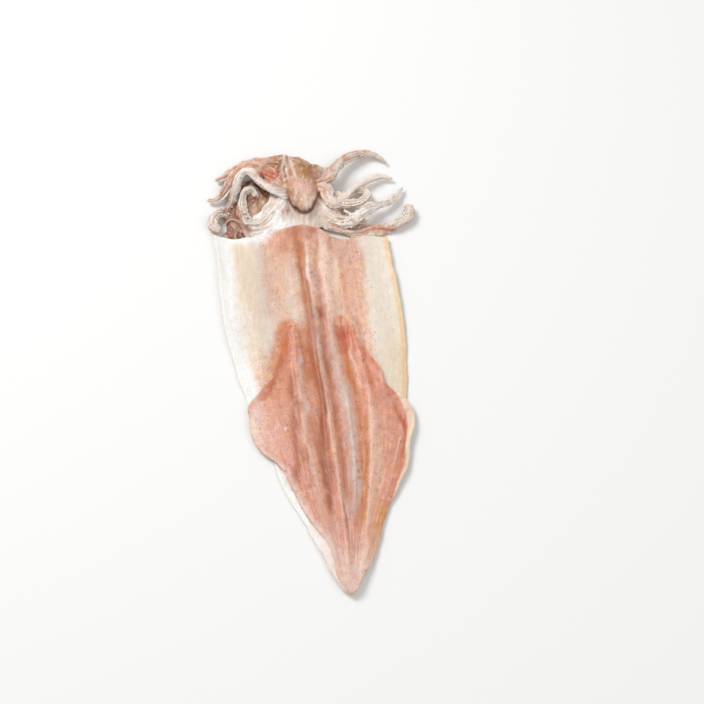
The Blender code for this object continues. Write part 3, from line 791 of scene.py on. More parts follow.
def lump(middle, size, sides=40, rings=24):
    """Points and faces of a rounded lump, given in millimetres."""
    tilt = np.linspace(0, math.pi, rings + 2)[1:-1]
    turn = np.linspace(0, 2 * math.pi, sides, endpoint=False)
    tilt, turn = np.meshgrid(tilt, turn, indexing="ij")
    unit = np.stack([np.sin(tilt) * np.cos(turn), -np.cos(tilt), np.sin(tilt) * np.sin(turn)], -1)
    unit = np.concatenate([unit.reshape(-1, 3), [(0, -1, 0), (0, 1, 0)]])
    points = (np.array(middle) + unit * np.array(size)) * MM
    index, after, faces = tube(rings, sides)
    south, north = rings * sides, rings * sides + 1
    low_end = [(south, index[0, k], after[0, k]) for k in range(sides)]
    high_end = [(north, after[-1, k], index[-1, k]) for k in range(sides)]
    return points, faces.tolist() + low_end + high_end


def joined(parts):
    """One list of points and one of faces from several such pairs."""
    count = 0
    faces = []
    for part_points, part_faces in parts:
        faces += [[corner + count for corner in face] for face in part_faces]
        count += len(part_points)
    return np.concatenate([part_points for part_points, _ in parts]), faces


def read(mesh, field):
    """One vector for each point of a mesh: its "co", where it is, or its "normal"."""
    flat = np.empty(len(mesh.vertices) * 3, np.float32)
    mesh.vertices.foreach_get(field, flat)
    return flat.reshape(-1, 3).astype(float)


def places(piece):
    """Where a piece's points are, in the squid's own coordinates."""
    return read(piece.data, "co") + FRAME_ORIGIN


print("one lump has", len(lump((0, 0, 0), (1, 1, 1))[1]), "faces")

# %% [markdown]
# The smoothing is just strong enough to blend the seams between the lumps. More of it would
# melt the arms' thin tips away. Flat lumps between the arms become the thin skins there.

# %% Make the head and fuse it with the limbs
# Middle and half sizes of each lump, in millimetres: the dome, the swellings over the eyes, the
# collar, the roots of the arms, and thin skins that fill the corners between them
DOME = ((-1.8, 275, 9.2), (10.2, 19, 9.0))
HEAD_LUMPS = (
    DOME,
    ((-9.5, 283, 8.5), (6.5, 8.0, 6.4)),
    ((8.0, 284, 8.2), (6.5, 8.0, 6.4)),
    ((-8, 258, 4.2), (25, 15, 4.2)),
    ((-4.5, 288, 8.2), (13, 9.5, 7.6)),
    ((-17, 268, 4.2), (7.5, 11, 4.2)),
    ((-27, 252.5, 2.4), (13, 9.5, 2.9)),
    ((-21.5, 282, 7.5), (7.5, 5.5, 4.5)),
    ((14, 256, 3.2), (9, 12, 3.0)),
    ((19, 268, 3.6), (10, 5, 2.6)),
    ((-19, 290.5, 8.0), (7.5, 4.5, 4.5)),
    ((-46, 260, 2.0), (9.0, 13.5, 2.7)),
    ((-35.5, 280, 1.8), (8, 9, 2.6)),
    ((-32.5, 272, 1.8), (10.5, 15.5, 2.4)),
    ((-41, 249.5, 1.6), (15, 6, 2.4)),
    ((27, 250, 1.7), (11, 6.5, 2.0)),
    ((40, 241.5, 1.4), (17, 4.5, 2.0)),
)
VOXEL = 0.55 * MM
SMOOTHING = 0.5
SMOOTHING_ROUNDS = 7

limb_faces = [list(face.vertices) for face in swept_limbs.data.polygons]
clay_parts = [(places(swept_limbs), limb_faces)] + [lump(middle, size) for middle, size in HEAD_LUMPS]
head = new_piece("head_and_arms", *joined(clay_parts))
bpy.data.objects.remove(swept_limbs)
remesh = head.modifiers.new("remesh", "REMESH")
remesh.mode = "VOXEL"
remesh.voxel_size = VOXEL
smooth = head.modifiers.new("smooth", "SMOOTH")
smooth.factor = SMOOTHING
smooth.iterations = SMOOTHING_ROUNDS
graph = bpy.context.evaluated_depsgraph_get()
fused = bpy.data.meshes.new_from_object(head.evaluated_get(graph))
head.modifiers.clear()
head.data = fused
print("head and arms", len(fused.polygons), "faces")

# %% [markdown]
# ## Knowing where each point of the skin is
#
# The remesh forgets which arm a point came from. A search tree over all the paths finds the
# nearest path point again. From it we know how far along the arm the point is, and whether it
# is on the side with the suckers. Both steer the wrinkles here and the colours later.

# %% Find each point's place on its limb
tree_of_paths = KDTree(len(path_points))
for k, point in enumerate(path_points):
    tree_of_paths.insert(Vector(point), k)
tree_of_paths.balance()
points = places(head)
normals = read(fused, "normal")
found = [tree_of_paths.find(Vector(point)) for point in points]
nearest = np.array([f[1] for f in found])
distance = np.array([f[2] for f in found])
which = path_owner[nearest]


def along_limbs(field):
    """One value of its nearest path point for each point of the skin."""
    return np.concatenate([getattr(limb, field) for limb in limbs])[nearest]


def of_limb(values):
    """One value of its limb for each point of the skin."""
    return np.array(values)[which]


limb_width = along_limbs("width")
limb_t = along_limbs("t")
offset = points - path_points[nearest]
sideways = (offset * along_limbs("across")).sum(1)
upwards = (offset * along_limbs("up")).sum(1) / LIMB_FLATNESS
around = np.arctan2(upwards, sideways)
from_suckers = np.abs((around - along_limbs("looks") + math.pi) % (2 * math.pi) - math.pi)
length_along = limb_t * of_limb([len(limb.path) for limb in limbs]) * PATH_STEP
bare = of_limb([limb.bare for limb in limbs])
suckered = ease(bare - 0.06, bare + 0.06, limb_t)
in_head = 1 - ease(0.85, 1.15, np.linalg.norm((points / MM - DOME[0]) / DOME[1], axis=1))
on_limb = (1 - ease(0.62, 0.85, distance / np.maximum(limb_width, MM))) * (1 - 0.9 * in_head)
print("points on limbs", int((on_limb > 0.5).sum()), "of", len(points))

# %% [markdown]
# Folds lie in shade, which the paint later lays on as painted shade, so it asks how deep a point
# lies. Ray casting would answer that, but two cheaper measures are enough: how far a point lies
# under the tops of what stands near it, seen from above, and how far under the mean of its
# neighbours on the mesh.

# %% Measures of low places
SHELTER_CELL = 1.0 * MM
SHELTER_REACH = 4


def sheltered(place):
    """How far each point lies under the top of what stands around it, in millimetres."""
    cell = np.floor((place[:, :2] - place[:, :2].min(0)) / SHELTER_CELL).astype(int) + SHELTER_REACH
    tops = np.zeros(cell.max(0) + SHELTER_REACH + 1)
    np.maximum.at(tops, (cell[:, 0], cell[:, 1]), place[:, 2])
    for _ in range(SHELTER_REACH):
        tops = (tops + sum(np.roll(tops, step, axis) for step in (-1, 1) for axis in (0, 1))) / 5
    return (tops[cell[:, 0], cell[:, 1]] - place[:, 2]) / MM


def hollows(piece, rounds):
    """How far each point lies below its smoothed surroundings, in millimetres. Grooves are positive."""
    mesh = piece.data
    pairs = np.empty(len(mesh.edges) * 2, np.int32)
    mesh.edges.foreach_get("vertices", pairs)
    a, b = pairs.reshape(-1, 2).T
    ends, others = np.concatenate([a, b]), np.concatenate([b, a])
    count = len(mesh.vertices)
    neighbours = np.maximum(np.bincount(ends, minlength=count), 1)[:, None]
    start = read(mesh, "co")
    place = start
    for _ in range(rounds):
        place = np.stack([np.bincount(ends, place[others, k], count) for k in range(3)], -1) / neighbours
    return ((place - start) * read(mesh, "normal")).sum(1) / MM


print("points that lie low", int((sheltered(points) > 2).sum()))

# %% [markdown]
# ## Wrinkles
#
# A drying arm gets rings, long grooves, a keel along its back and a gutter between its rows of
# suckers. The head puckers all over, a rim forms round the dome, and three ridges of skin cross
# it. A displacement texture could not follow the arms, so each point is moved along its normal
# by a sum of such forms.

# %% Wrinkle the head and arms
# X where each ridge of skin crosses the line Y = 286 mm, and how much it leans
SKIN_RIDGES = ((-10.6, -0.05), (-6.2, -0.16), (-14.2, 0.30))


def skin_ridges(half_width):
    """One soft line for each ridge of skin on the head."""
    return [bell(hx - x0 - lean * (hy - 286), half_width) for x0, lean in SKIN_RIDGES]


hx, hy, hz = (points / MM).T
on_crown = ease(277, 281, hy) * ease(9, 12, hz)
rings = 0.28 * noise(length_along / (1.3 * MM), which * 3.0 + around * 1.2, 81)
grooves = 0.78 * rough(length_along / (8 * MM), which * 5.0 + around * 2.0, 82)
keel = 0.30 * bell(from_suckers - math.pi, 0.35)
gutter = -0.40 * bell(from_suckers, 0.22) * suckered
limb_relief = (rings + grooves + keel + gutter) * on_limb * np.clip(limb_width / (7 * MM), 0.2, 1.2)
from_dome = np.hypot((hx - DOME[0][0]) / DOME[1][0], (hy - DOME[0][1]) / DOME[1][1])
brow = -0.9 * bell(from_dome - 1.0, 0.05) * (1 - ease(266, 272, hy)) * ease(5, 7, hz)
crown_relief = 0.9 * sum(skin_ridges(0.8)) * on_crown + brow
puckers = rough(hx / 3.4, hy / 5.5, 91) * 0.70 + rough(hx / 1.3, hy / 1.8, 92) * 0.14
strands = rough(hx / 2.6, hy / 9, 93) * 0.25 * (hz < 7)
relief = limb_relief + (crown_relief * in_head + puckers + strands) * (1 - on_limb)
points += normals * (relief * MM)[:, None]
points[:, 2] = np.maximum(points[:, 2], 0)
fused.vertices.foreach_set("co", (points - FRAME_ORIGIN).astype(np.float32).ravel())
fused.update()
fused.shade_smooth()
print("relief from", round(relief.min(), 2), "to", round(relief.max(), 2), "mm")

# %% [markdown]
# ## Ragged webs
#
# A thin web of skin runs along both sides of every arm's suckers. Dried, it stands up as a pale,
# frayed frill. It is a narrow closed strip that leans outwards and waves along the arm.

# %% Make the webs along the arms
WEB_THICKNESS = 0.45 * MM
WEB_HEIGHT = 0.20
WEB_ANGLE = 0.95


def web(limb, hand):
    """A wavy strip on one side of the suckers, as rings of six corners."""
    own = limb.place * 0 + hand
    turned = limb.looks + hand * WEB_ANGLE
    lean = turned + hand * (0.35 + 0.45 * rough(limb.place / (3.2 * MM), own, 57))
    height = limb.width * WEB_HEIGHT * (1 + 0.65 * rough(limb.place / (2.4 * MM), own, 58))
    height = height * window(limb.bare - 0.06, limb.bare + 0.06, 0.93, 0.99, limb.t) + 0.05 * MM

    def at(angle, radius):
        """A step of this length from the limb's middle, at this angle round it."""
        level = (np.cos(angle) * radius)[:, None]
        upright = (np.sin(angle) * radius * LIMB_FLATNESS)[:, None]
        return limb.across * level + limb.up * upright

    foot = limb.path + at(turned, limb.width * 0.40)
    top = limb.path + at(turned, limb.width * 0.44) + at(lean, height)
    sideways = np.cross(top - foot, np.gradient(limb.path, axis=0))
    sideways /= np.maximum(np.linalg.norm(sideways, axis=1), 1e-9)[:, None]
    half = sideways * WEB_THICKNESS / 2
    middle = (foot + top) / 2
    thin = half * 0.35
    return np.stack([foot + half, middle + half, top + thin, top - thin, middle - half, foot - half], 1)


def band(rings):
    """Points and faces of a tube through rings of equal size, closed at both ends."""
    index, _, faces = tube(*rings.shape[:2])
    return rings.reshape(-1, 3), faces.tolist() + [index[0].tolist(), index[-1, ::-1].tolist()]


web_points, web_faces = joined([band(web(limb, hand)) for limb in arms for hand in (LEFT, RIGHT)])
web_points[:, 2] = np.maximum(web_points[:, 2], 0.02 * MM)
webs = new_piece("arm_webs", web_points, web_faces)
fix = bmesh.new()
fix.from_mesh(webs.data)
bmesh.ops.recalc_face_normals(fix, faces=fix.faces)
fix.to_mesh(webs.data)
fix.free()
print("web faces", len(webs.data.polygons))

# %% [markdown]
# ## The suckers
#
# Two rows of suckers run down each arm, and each tentacle's club carries four. They get smaller
# and closer towards the tip. One small cup is turned from a profile, and a node tree puts a
# copy on every guide point, aims it outwards and gives it the size stored there.

# %% One sucker cup
CUP_SIDES = 9
# Radius and height of each ring, from the foot over the rim and into the cup, for a cup 1 wide
CUP_PROFILE = ((0.42, -0.35), (0.50, 0.10), (0.46, 0.26), (0.33, 0.24), (0.22, 0.06))
CUP_FLOOR = 0.02
CUP_BASE = -0.4

turn = np.linspace(0, 2 * math.pi, CUP_SIDES, endpoint=False)
cup_points = [(r * math.cos(a), r * math.sin(a), h) for r, h in CUP_PROFILE for a in turn]
cup_points += [(0, 0, CUP_FLOOR), (0, 0, CUP_BASE)]
index, after, cup_faces = tube(len(CUP_PROFILE), CUP_SIDES)
cup_faces = np.roll(cup_faces[:, ::-1], 1, axis=1).tolist()
cup_faces += [(index[-1, k], after[-1, k], index.size) for k in range(CUP_SIDES)]
cup_faces += [(after[0, k], index[0, k], index.size + 1) for k in range(CUP_SIDES)]
cup = new_piece("cup", np.array(cup_points) + FRAME_ORIGIN, cup_faces)
print("one cup has", len(cup_faces), "faces")

# %% [markdown]
# The places are worked out in Python, because a row has to know which way its arm's inner side
# looks. Cups sit a cup and a half apart, vary in size and aim, and some have fallen off.

# %% Guide points for the suckers
SUCKER_SPACING = 1.45
KEPT = 0.85
SMALLEST = 0.45 * MM
ARM_SUCKER = 0.25
CLUB_SUCKER = 0.2
ARM_ROWS = ((-0.42, 0), (0.42, 0.01))
CLUB_ROWS = (-0.9, -0.3, 0.3, 0.9)


def row_of_suckers(limb, angle, first, share):
    """Places, outward directions and sizes of one row, from `first` to just before the tip."""
    row = []
    station = first * len(limb.path)
    luck = np.random.default_rng(int(1000 * (first + angle + 2)) + len(limb.path))
    while station < len(limb.path) * 0.985 - 1:
        k = int(station)
        size = max(limb.width[k] * share, SMALLEST) * luck.uniform(0.7, 1.15)
        level = limb.across[k] * math.cos(limb.looks[k] + angle)
        upright = limb.up[k] * math.sin(limb.looks[k] + angle)
        place = limb.path[k] + (level + upright * LIMB_FLATNESS) * limb.width[k] * 0.49
        out = level * LIMB_FLATNESS + upright
        out = out / np.linalg.norm(out) + luck.uniform(-0.35, 0.35, 3)
        if luck.random() < KEPT:
            row.append((place, out / np.linalg.norm(out), size))
        station += size * SUCKER_SPACING / PATH_STEP
    return row


sucker_spots = []
for limb in arms:
    for angle, later in ARM_ROWS:
        sucker_spots += row_of_suckers(limb, angle, limb.bare + later, ARM_SUCKER)
for limb in tentacles:
    for angle in CLUB_ROWS:
        sucker_spots += row_of_suckers(limb, angle, CLUB_START + 0.03 * abs(angle), CLUB_SUCKER)
sucker_spots = [spot for spot in sucker_spots if spot[0][2] > 0.6 * MM]
print("suckers", len(sucker_spots))

# %% [markdown]
# The tree aligns the cup's Z axis with the stored direction. A seeded random number makes each
# cup a little larger or smaller than its stored size.

# %% Grow the suckers
SUCKER_SIZES = {"Uneven": 0.2, "Seed": 4}

sucker_material = bpy.data.materials.new("sucker_flesh")
sucker_tree, given = geometry_tree("suckers_on_points", SUCKER_SIZES)
out = add(sucker_tree, "GeometryNodeInputNamedAttribute", {"Name": "out"}, data_type="FLOAT_VECTOR")
size = add(sucker_tree, "GeometryNodeInputNamedAttribute", {"Name": "size"}, data_type="FLOAT")
aim = add(sucker_tree, "FunctionNodeAlignRotationToVector", {"Vector": out.outputs[0]}, axis="Z")
cup_shape = add(sucker_tree, "GeometryNodeObjectInfo", {"Object": cup})
low = math_node(sucker_tree, "SUBTRACT", 1.0, given["Uneven"])
high = math_node(sucker_tree, "ADD", 1.0, given["Uneven"])
luck = {2: low, 3: high, "Seed": given["Seed"]}
uneven = add(sucker_tree, "FunctionNodeRandomValue", luck, data_type="FLOAT")
cups = add(sucker_tree, "GeometryNodeInstanceOnPoints", {
    "Points": given["Geometry"], "Instance": cup_shape.outputs["Geometry"], "Rotation": aim.outputs[0],
    "Scale": math_node(sucker_tree, "MULTIPLY", size.outputs[0], uneven.outputs[1]),
})
end_tree(sucker_tree, cups.outputs[0], sucker_material)

spot_places, spot_directions, spot_sizes = zip(*sucker_spots)
guide = new_object("sucker_points", new_mesh("sucker_points", spot_places))
store(guide.data, "out", "FLOAT_VECTOR", spot_directions)
store(guide.data, "size", "FLOAT", spot_sizes)
suckers = grow("suckers", guide, sucker_tree, SUCKER_SIZES)
bpy.data.objects.remove(cup)
print("sucker faces", len(suckers.data.polygons))

# %% [markdown]
# ## The eyes
#
# Drying shrinks the eyes to dark, glossy beads that look out to the sides, half under their
# lids. Each is a small lump pressed into its swelling.

# %% Make the eyes
EYES = (((-13.8, 284, 8.0), (3.2, 4.0, 3.4)), ((12.4, 285, 8.0), (3.2, 4.0, 3.4)))

eyes = new_piece("eyes", *joined([lump(middle, size, 24, 12) for middle, size in EYES]))
print("eyes", len(eyes.data.polygons), "faces")

# %% [markdown]
# ## Painting with streaks and patches
#
# Squid skin is ivory flesh under millions of tiny bags of pigment. Where they crowd, the skin is
# salmon or brick red, and where the skin rubbed off it is bare. The colour of a place
# is built up as a painter would: a ground colour, then soft streaks along tracks and soft
# patches, each at its own strength. A wandering noise keeps their edges from looking airbrushed.
# The colours could sit in an image, but as a value on each point they need no unwrapping.


# %% Tools for painting
def paint(colour):
    """A colour as read off a screen, from 0 to 255, turned into the linear numbers that shaders use."""
    c = np.array(colour) / 255
    return np.where(c <= 0.04045, c / 12.92, ((c + 0.055) / 1.055) ** 2.4)


class Canvas:
    """Points to be painted: their places in millimetres, disturbed a little, and their colour so far."""

    def __init__(self, x, y, ground, seed, disturb=1.6):
        x, y = x / MM, y / MM
        self.x = x + disturb * rough(x / 7, y / 11, seed)
        self.y = y + 2 * disturb * rough(x / 9, y / 9, seed + 7)
        self.mottle = rough(x / 3.2, y / 5.0, seed + 11)
        self.colour = np.tile(paint(ground), (len(x), 1))
        self.dots = np.zeros(len(x))

    def lay(self, colour, mask, dots=None):
        """Lays a colour on where the mask is strong. Dots is how crowded the pigment spots are there."""
        mask = np.clip(mask * (1 + 0.16 * self.mottle), 0, 1)
        self.colour += (paint(colour) - self.colour) * mask[:, None]
        if dots is not None:
            self.dots += (dots - self.dots) * mask

    def streak(self, colour, strength, half_width, track, dots=None, fade=6):
        """A soft line through (x, y) places."""
        track = sorted((y, x) for x, y in track)
        first, last = track[0][0], track[-1][0]
        ends = window(first - fade, first + fade, last - fade, last + fade, self.y)
        self.lay(colour, strength * ends * bell(self.x - through(track, self.y), half_width), dots)

    def patch(self, colour, strength, middle, size, dots=None):
        """A soft round patch."""
        far = ((self.x - middle[0]) / size[0]) ** 2 + ((self.y - middle[1]) / size[1]) ** 2
        self.lay(colour, strength * np.exp(-far), dots)

    def brush(self, strokes, mask=1.0):
        """Lays a table of streaks and patches in its order, as far as the mask lets them."""
        for colour, strength, third, fourth, dots, *fade in strokes:
            # A patch has its middle in third place, and a streak its half width
            stroke = self.patch if isinstance(third, tuple) else self.streak
            stroke(colour, strength * mask, third, fourth, dots, *fade)


IVORY = (236, 224, 208)
CREAM = (229, 212, 186)
GREY_CREAM = (221, 203, 192)
MILK = (247, 245, 242)
LIGHT = (240, 216, 198)
APRICOT = (228, 190, 166)
PINK = (222, 180, 163)
MAUVE = (208, 168, 152)
OCHRE = (208, 142, 92)
RUST = (206, 108, 62)
BRICK = (184, 96, 56)
BROWN = (160, 102, 72)
UMBER = (112, 70, 48)
print("ivory in linear numbers", paint(IVORY).round(3))

# %% [markdown]
# The strokes stand in tables, so that a colour or a place is easy to change. A streak is a
# colour, a strength, a half width and a track of (x, y) places. A patch is a colour, a strength,
# a middle and its half sizes. Both end with how crowded the dots are, where None leaves them as
# they were, and a streak may add how far its ends fade. Lengths are in millimetres. Later
# strokes lie over earlier ones.
#
# The mantle's left border is bare white flesh, then cream, and the coloured skin begins a third
# of the way in. The midline is a thin ridge with a painted highlight along it, between a
# rust-brown line and a mauve strip with dark dots, and the right border fades to cream again.

# %% Paint the front half of the mantle
SKIN_LEFT = (
    (0, -8), (90, -30), (130, -38), (150, -33), (165, -27), (184, -26), (198, -30), (216, -31), (242, -29),
)
SKIN_RIGHT = ((0, 8), (90, 30), (130, 34), (169, 31), (198, 32), (234, 34))
FRONT_SKIN = (
    (MAUVE, 0.45, 3.5, ((-32, 186), (-29, 206), (-28, 226), (-26, 244)), 0.4),
    ((226, 186, 158), 0.72, 8, ((-18, 168), (-18, 190), (-19, 215), (-17, 240)), 0.3),
    (OCHRE, 0.55, (-13, 241), (13, 10), 0.5),
    ((224, 200, 182), 0.55, (-42, 188), (5, 13), 0.1),
    ((206, 138, 108), 0.66, (-11, 241), (13, 10), 0.6),
    ((229, 215, 200), 0.82, (-16, 190.5), (4.0, 13.5), 0.05),
    ((228, 208, 192), 0.5, (-17, 214), (4, 14), 0.1),
    ((190, 116, 60), 0.8, 3.0, ((-6.5, 168), (-5.6, 180), (-5.2, 192), (-6.0, 206), (-7.4, 220),
     (-8.4, 236)), 0.6),
    ((152, 84, 40), 0.72, 2.0, ((-4.6, 172), (-4.0, 184), (-4.0, 192), (-4.8, 204), (-6.0, 214)), 0.8),
    ((207, 168, 152), 0.85, 4.2, ((3, 168), (2.2, 185), (1.3, 214), (0, 226), (2, 238)), 0.95),
    ((200, 158, 144), 0.35, 2.2, ((2, 190), (1.5, 204), (0, 222)), 1.0),
    ((146, 82, 44), 0.5, 2.6, ((-3.6, 188), (-4.0, 181), (-5.4, 172), (-6.4, 162)), 0.8),
    ((152, 84, 60), 0.94, (0, 183), (6.4, 9.5), 0.9),
    ((146, 100, 84), 0.7, (-2.5, 172), (6, 8), 0.7),
    ((226, 190, 176), 0.5, (2.5, 240), (4.5, 2.6), 0.1),
    ((180, 126, 108), 0.65, (-3, 243), (3.6, 3), 0.5),
    ((242, 212, 188), 0.8, (14.2, 214), (3.6, 17), 0.1),
    ((232, 199, 180), 0.78, 4.4, ((12.5, 178), (9.5, 204), (6, 224), (4, 236)), 0.3),
    (LIGHT, 0.45, 1.6, ((14.5, 178), (13, 204), (11, 222), (9, 232)), 0.1),
    ((208, 142, 108), 0.68, 2.6, ((18.6, 180), (19, 196), (19, 214), (17.6, 224)), 0.6),
    ((226, 176, 148), 0.6, 3.5, ((17, 227), (9.5, 242)), 0.5),
    (MAUVE, 0.5, 4.5, ((27, 206), (25, 220), (21, 234), (17, 244)), 0.5),
    ((211, 164, 144), 0.85, 4.5, ((25, 184), (27.5, 204), (29, 224), (29.5, 238)), 0.5),
    ((214, 160, 130), 0.78, (27.5, 195), (6.5, 17), 0.5),
    ((222, 194, 158), 0.4, (32, 181), (4, 12), 0.1),
    ((214, 144, 110), 0.85, (15.5, 178.5), (6, 4.5), 0.9),
    (APRICOT, 0.65, 4.2, ((27, 172), (26, 195), (23, 208)), 0.4),
    ((188, 124, 102), 0.9, (-2, 247.5), (15, 5.5), 0.8),
    # Painted highlight along the ridge of the pen
    ((240, 222, 216), 0.72, 0.95, ((-4.2, 210), (-4.2, 220), (-4.2, 228), (-4.4, 235)), 0, 5),
    ((220, 172, 150), 0.62, (-40, 145), (9, 15), 1.0),
    (MAUVE, 0.5, (41, 134), (2.2, 6), 0.2),
)


def paint_front(board, x, y):
    """The front half of the mantle."""
    v = y / MANTLE_LENGTH
    from_left = (x - side(MANTLE_EDGE[LEFT], y)) / MM
    from_right = (side(MANTLE_EDGE[RIGHT], y) - x) / MM
    from_front = (through(FRONT_EDGE, x / FRONT_WIDTH) * MANTLE_LENGTH - y) / MM
    skin_left = board.x - through(SKIN_LEFT, board.y)
    skin_right = through(SKIN_RIGHT, board.y) - board.x
    bare_right = ease(-3, 5, -skin_right) * (board.x > 0)
    board.lay(CREAM, 0.80 * window(5, 14, 17, 29, from_left))
    board.lay(GREY_CREAM, 0.60 * ease(18, 25, from_left) * (board.x < 0))
    board.patch((219, 196, 171), 0.74, (-44, 211), (7.8, 30))
    board.lay(PINK, 0.80 * ease(-7, 7, skin_left) * ease(-7, 7, skin_right), 0.35)
    board.brush(FRONT_SKIN)
    board.lay(IVORY, 0.90 * bare_right, 0.02)
    board.patch((231, 202, 164), 0.60, (46, 142), (7, 28), 0)
    board.lay((226, 220, 208), 0.45 * bare_right * np.clip(board.mottle, 0, 1))
    board.lay((229, 193, 142), 0.90 * (1 - ease(1.4, 4.4, from_right)) * ease(0.3, 0.5, v), 0)
    white_border = 1 - ease(5.5, 14, from_left + 1.2 * board.mottle)
    board.lay(MILK, 0.97 * white_border * (0.45 + 0.55 * ease(0.07, 0.2, v)), 0)
    board.patch((214, 204, 192), 0.55, (-48, 180), (5.5, 26), 0.1)
    white_front = 1 - ease(1.0, 8.5, from_front + 1.6 * board.mottle)
    board.lay(MILK, 0.85 * white_front * (1 - ease(-30, -20, board.x)), 0)


print("strokes on the front", len(FRONT_SKIN))

# %% [markdown]
# The fins and the mantle between them make one salmon arrowhead, striped lengthwise by its
# folds: brown in the valleys, pale on the ridges, with thin painted highlights along some of them,
# lilac grey on the broad one right of the midline. The same strokes go over the mantle and both
# fins, so that no seam shows where a fin lies on the mantle.

# %% Paint the arrowhead
ARROWHEAD = (
    (APRICOT, 0.35, (-33, 112), (10, 16), 0.4),
    ((221, 163, 148), 0.85, (-31, 92), (12, 22), 0.5),
    ((226, 162, 132), 0.45, (-28, 143), (6, 12), 0.7),
    ((192, 96, 50), 0.92, (-24, 169), (6.5, 11), 1.0),
    # Pale left lobe, partly its own colour and partly painted sheen
    ((246, 220, 207), 0.92, (-47.5, 112), (6.0, 18), 0.1),
    ((166, 88, 44), 0.93, 3.5, ((-22.8, 77), (-23, 85), (-21.6, 107), (-20.3, 126), (-20.6, 144)), 0.7, 8),
    ((202, 141, 118), 0.6, 3.9, ((-7, 60), (-8.4, 92), (-8.6, 130), (-8.4, 160)), 0.8),
    ((146, 76, 40), 0.9, 2.7, ((-6.4, 52), (-7.2, 65), (-7.6, 85), (-5.2, 103), (-2.9, 122), (-2.8, 128),
     (-5.0, 142), (-4.6, 152)), 0.9),
    ((216, 164, 146), 0.58, 1.5, ((0, 58), (0.1, 68), (1.2, 85), (-0.8, 104), (-0.4, 112)), 0.3, 5),
    ((188, 114, 68), 0.78, 4.0, ((-9, 136), (-8.6, 150), (-8.2, 162)), 0.8),
    ((180, 112, 88), 0.6, (-6, 81), (5.6, 18), 0.9),
    ((164, 94, 72), 0.7, (-6.5, 80), (3.6, 13), 0.9),
    ((146, 94, 76), 0.86, 5.0, ((2.0, 140), (0.6, 152), (-1.4, 164), (-3.4, 178)), 0.9),
    ((160, 94, 70), 0.52, 2.6, ((-2.0, 116), (-2.4, 128), (-4.4, 142)), 0.9),
    ((176, 112, 88), 0.3, 3.0, ((1.6, 142), (1.0, 160)), 0.9),
    ((172, 112, 88), 0.62, (-5.5, 160), (5, 11), 0.9),
    ((138, 74, 46), 0.6, 1.7, ((-2.8, 112), (-2.3, 122), (-2.6, 132)), 0.9),
    # Painted highlight along the left ridge
    ((241, 216, 205), 0.55, 1.5, ((-16, 104), (-16.3, 128)), 0),
    ((184, 132, 112), 0.55, (6.6, 147), (3.8, 14), 0.6),
    (LIGHT, 0.22, (-2.4, 162), (4.2, 0.8), 0),
    # Painted highlight along the left ridge, broader
    ((232, 200, 184), 0.88, 1.8, ((-9.5, 30), (-13.4, 54), (-14.3, 65), (-15.8, 84), (-16.1, 104),
     (-16.2, 117), (-16.4, 145), (-13.5, 160)), 0.1),
    ((222, 176, 160), 0.55, 2.6, ((-11, 46), (-12.6, 78), (-13, 98)), 0.3),
    ((193, 158, 146), 0.92, 4.8, ((6, 40), (8.2, 58), (9.8, 67), (11.2, 85), (11.4, 104), (10.6, 122),
     (8.6, 139), (6.2, 150), (7.0, 172)), 0.4),
    ((210, 184, 175), 0.56, 2.2, ((10.4, 62), (12.6, 84), (14.2, 103), (11.4, 120), (11.6, 136)), 0.1),
    ((180, 126, 104), 0.82, 2.4, ((4.4, 58), (4.4, 67), (5.2, 85), (3.8, 104), (3.2, 125), (2.1, 143)),
     0.7),
    ((192, 116, 48), 0.92, 2.3, ((10.5, 40), (15.0, 64), (19.2, 85), (18.6, 104), (19.2, 120), (16.0, 140),
     (16.0, 150), (16.0, 162)), 0.8),
    (APRICOT, 0.85, 3.7, ((14, 40), (21.4, 60), (24.4, 83), (27.2, 104), (26.8, 116)), 0.15),
    ((232, 196, 176), 0.4, (21, 58), (3.5, 12), 0.2),
    ((211, 148, 127), 0.8, 4.4, ((29, 56), (34, 72), (36, 92), (34, 112), (30, 124)), 0.6),
    ((190, 78, 26), 0.96, (14.4, 168), (6.2, 10), 1.0),
    ((202, 124, 92), 0.68, (27, 138), (8, 15), 0.7),
    # Painted highlight along a ridge of the right fin
    ((236, 202, 182), 0.56, 0.9, ((22.6, 131), (20.1, 141), (17.9, 153), (17.4, 171)), 0),
    ((126, 88, 74), 0.55, 0.8, ((1.6, 38), (2.1, 51), (2.1, 66)), None),
    ((240, 214, 200), 0.6, 1.0, ((3.4, 36), (4.0, 51), (3.8, 66)), None),
    (RUST, 0.6, (6, 42), (3, 7), 0.6),
    ((206, 146, 84), 0.8, 3.4, ((10, 12), (20, 38), (26, 54)), 0.3),
    ((222, 164, 146), 0.8, (-19, 52), (8, 14), 0.4),
    ((232, 192, 176), 0.5, (-7, 38), (4.5, 14), 0.2),
    ((196, 126, 104), 0.5, (-20.5, 66), (3.6, 12), 0.6),
    ((228, 186, 172), 0.22, (34, 104), (8, 20), 0.4),
    ((236, 200, 188), 0.4, (-38, 98), (6, 12), 0.2),
)


def paint_arrowhead(board, strength):
    """The fins and the mantle between them, where strength is 1."""
    kept, kept_dots = board.colour.copy(), board.dots.copy()
    board.lay((216, 154, 132), 1.0, 0.6)
    board.brush(ARROWHEAD)
    board.lay((226, 196, 184), 0.85 * (1 - ease(12, 48, board.y)), 0.25)
    # Painted sheen near the tip of the tail
    board.patch((230, 210, 202), 0.40, (-8.5, 16), (2.6, 11), 0)
    board.patch((206, 150, 132), 0.42, (3.6, 30), (5.5, 9), 0.5)
    board.colour = kept + (board.colour - kept) * strength[:, None]
    board.dots = kept_dots + (board.dots - kept_dots) * strength


print("strokes on the arrowhead", len(ARROWHEAD))
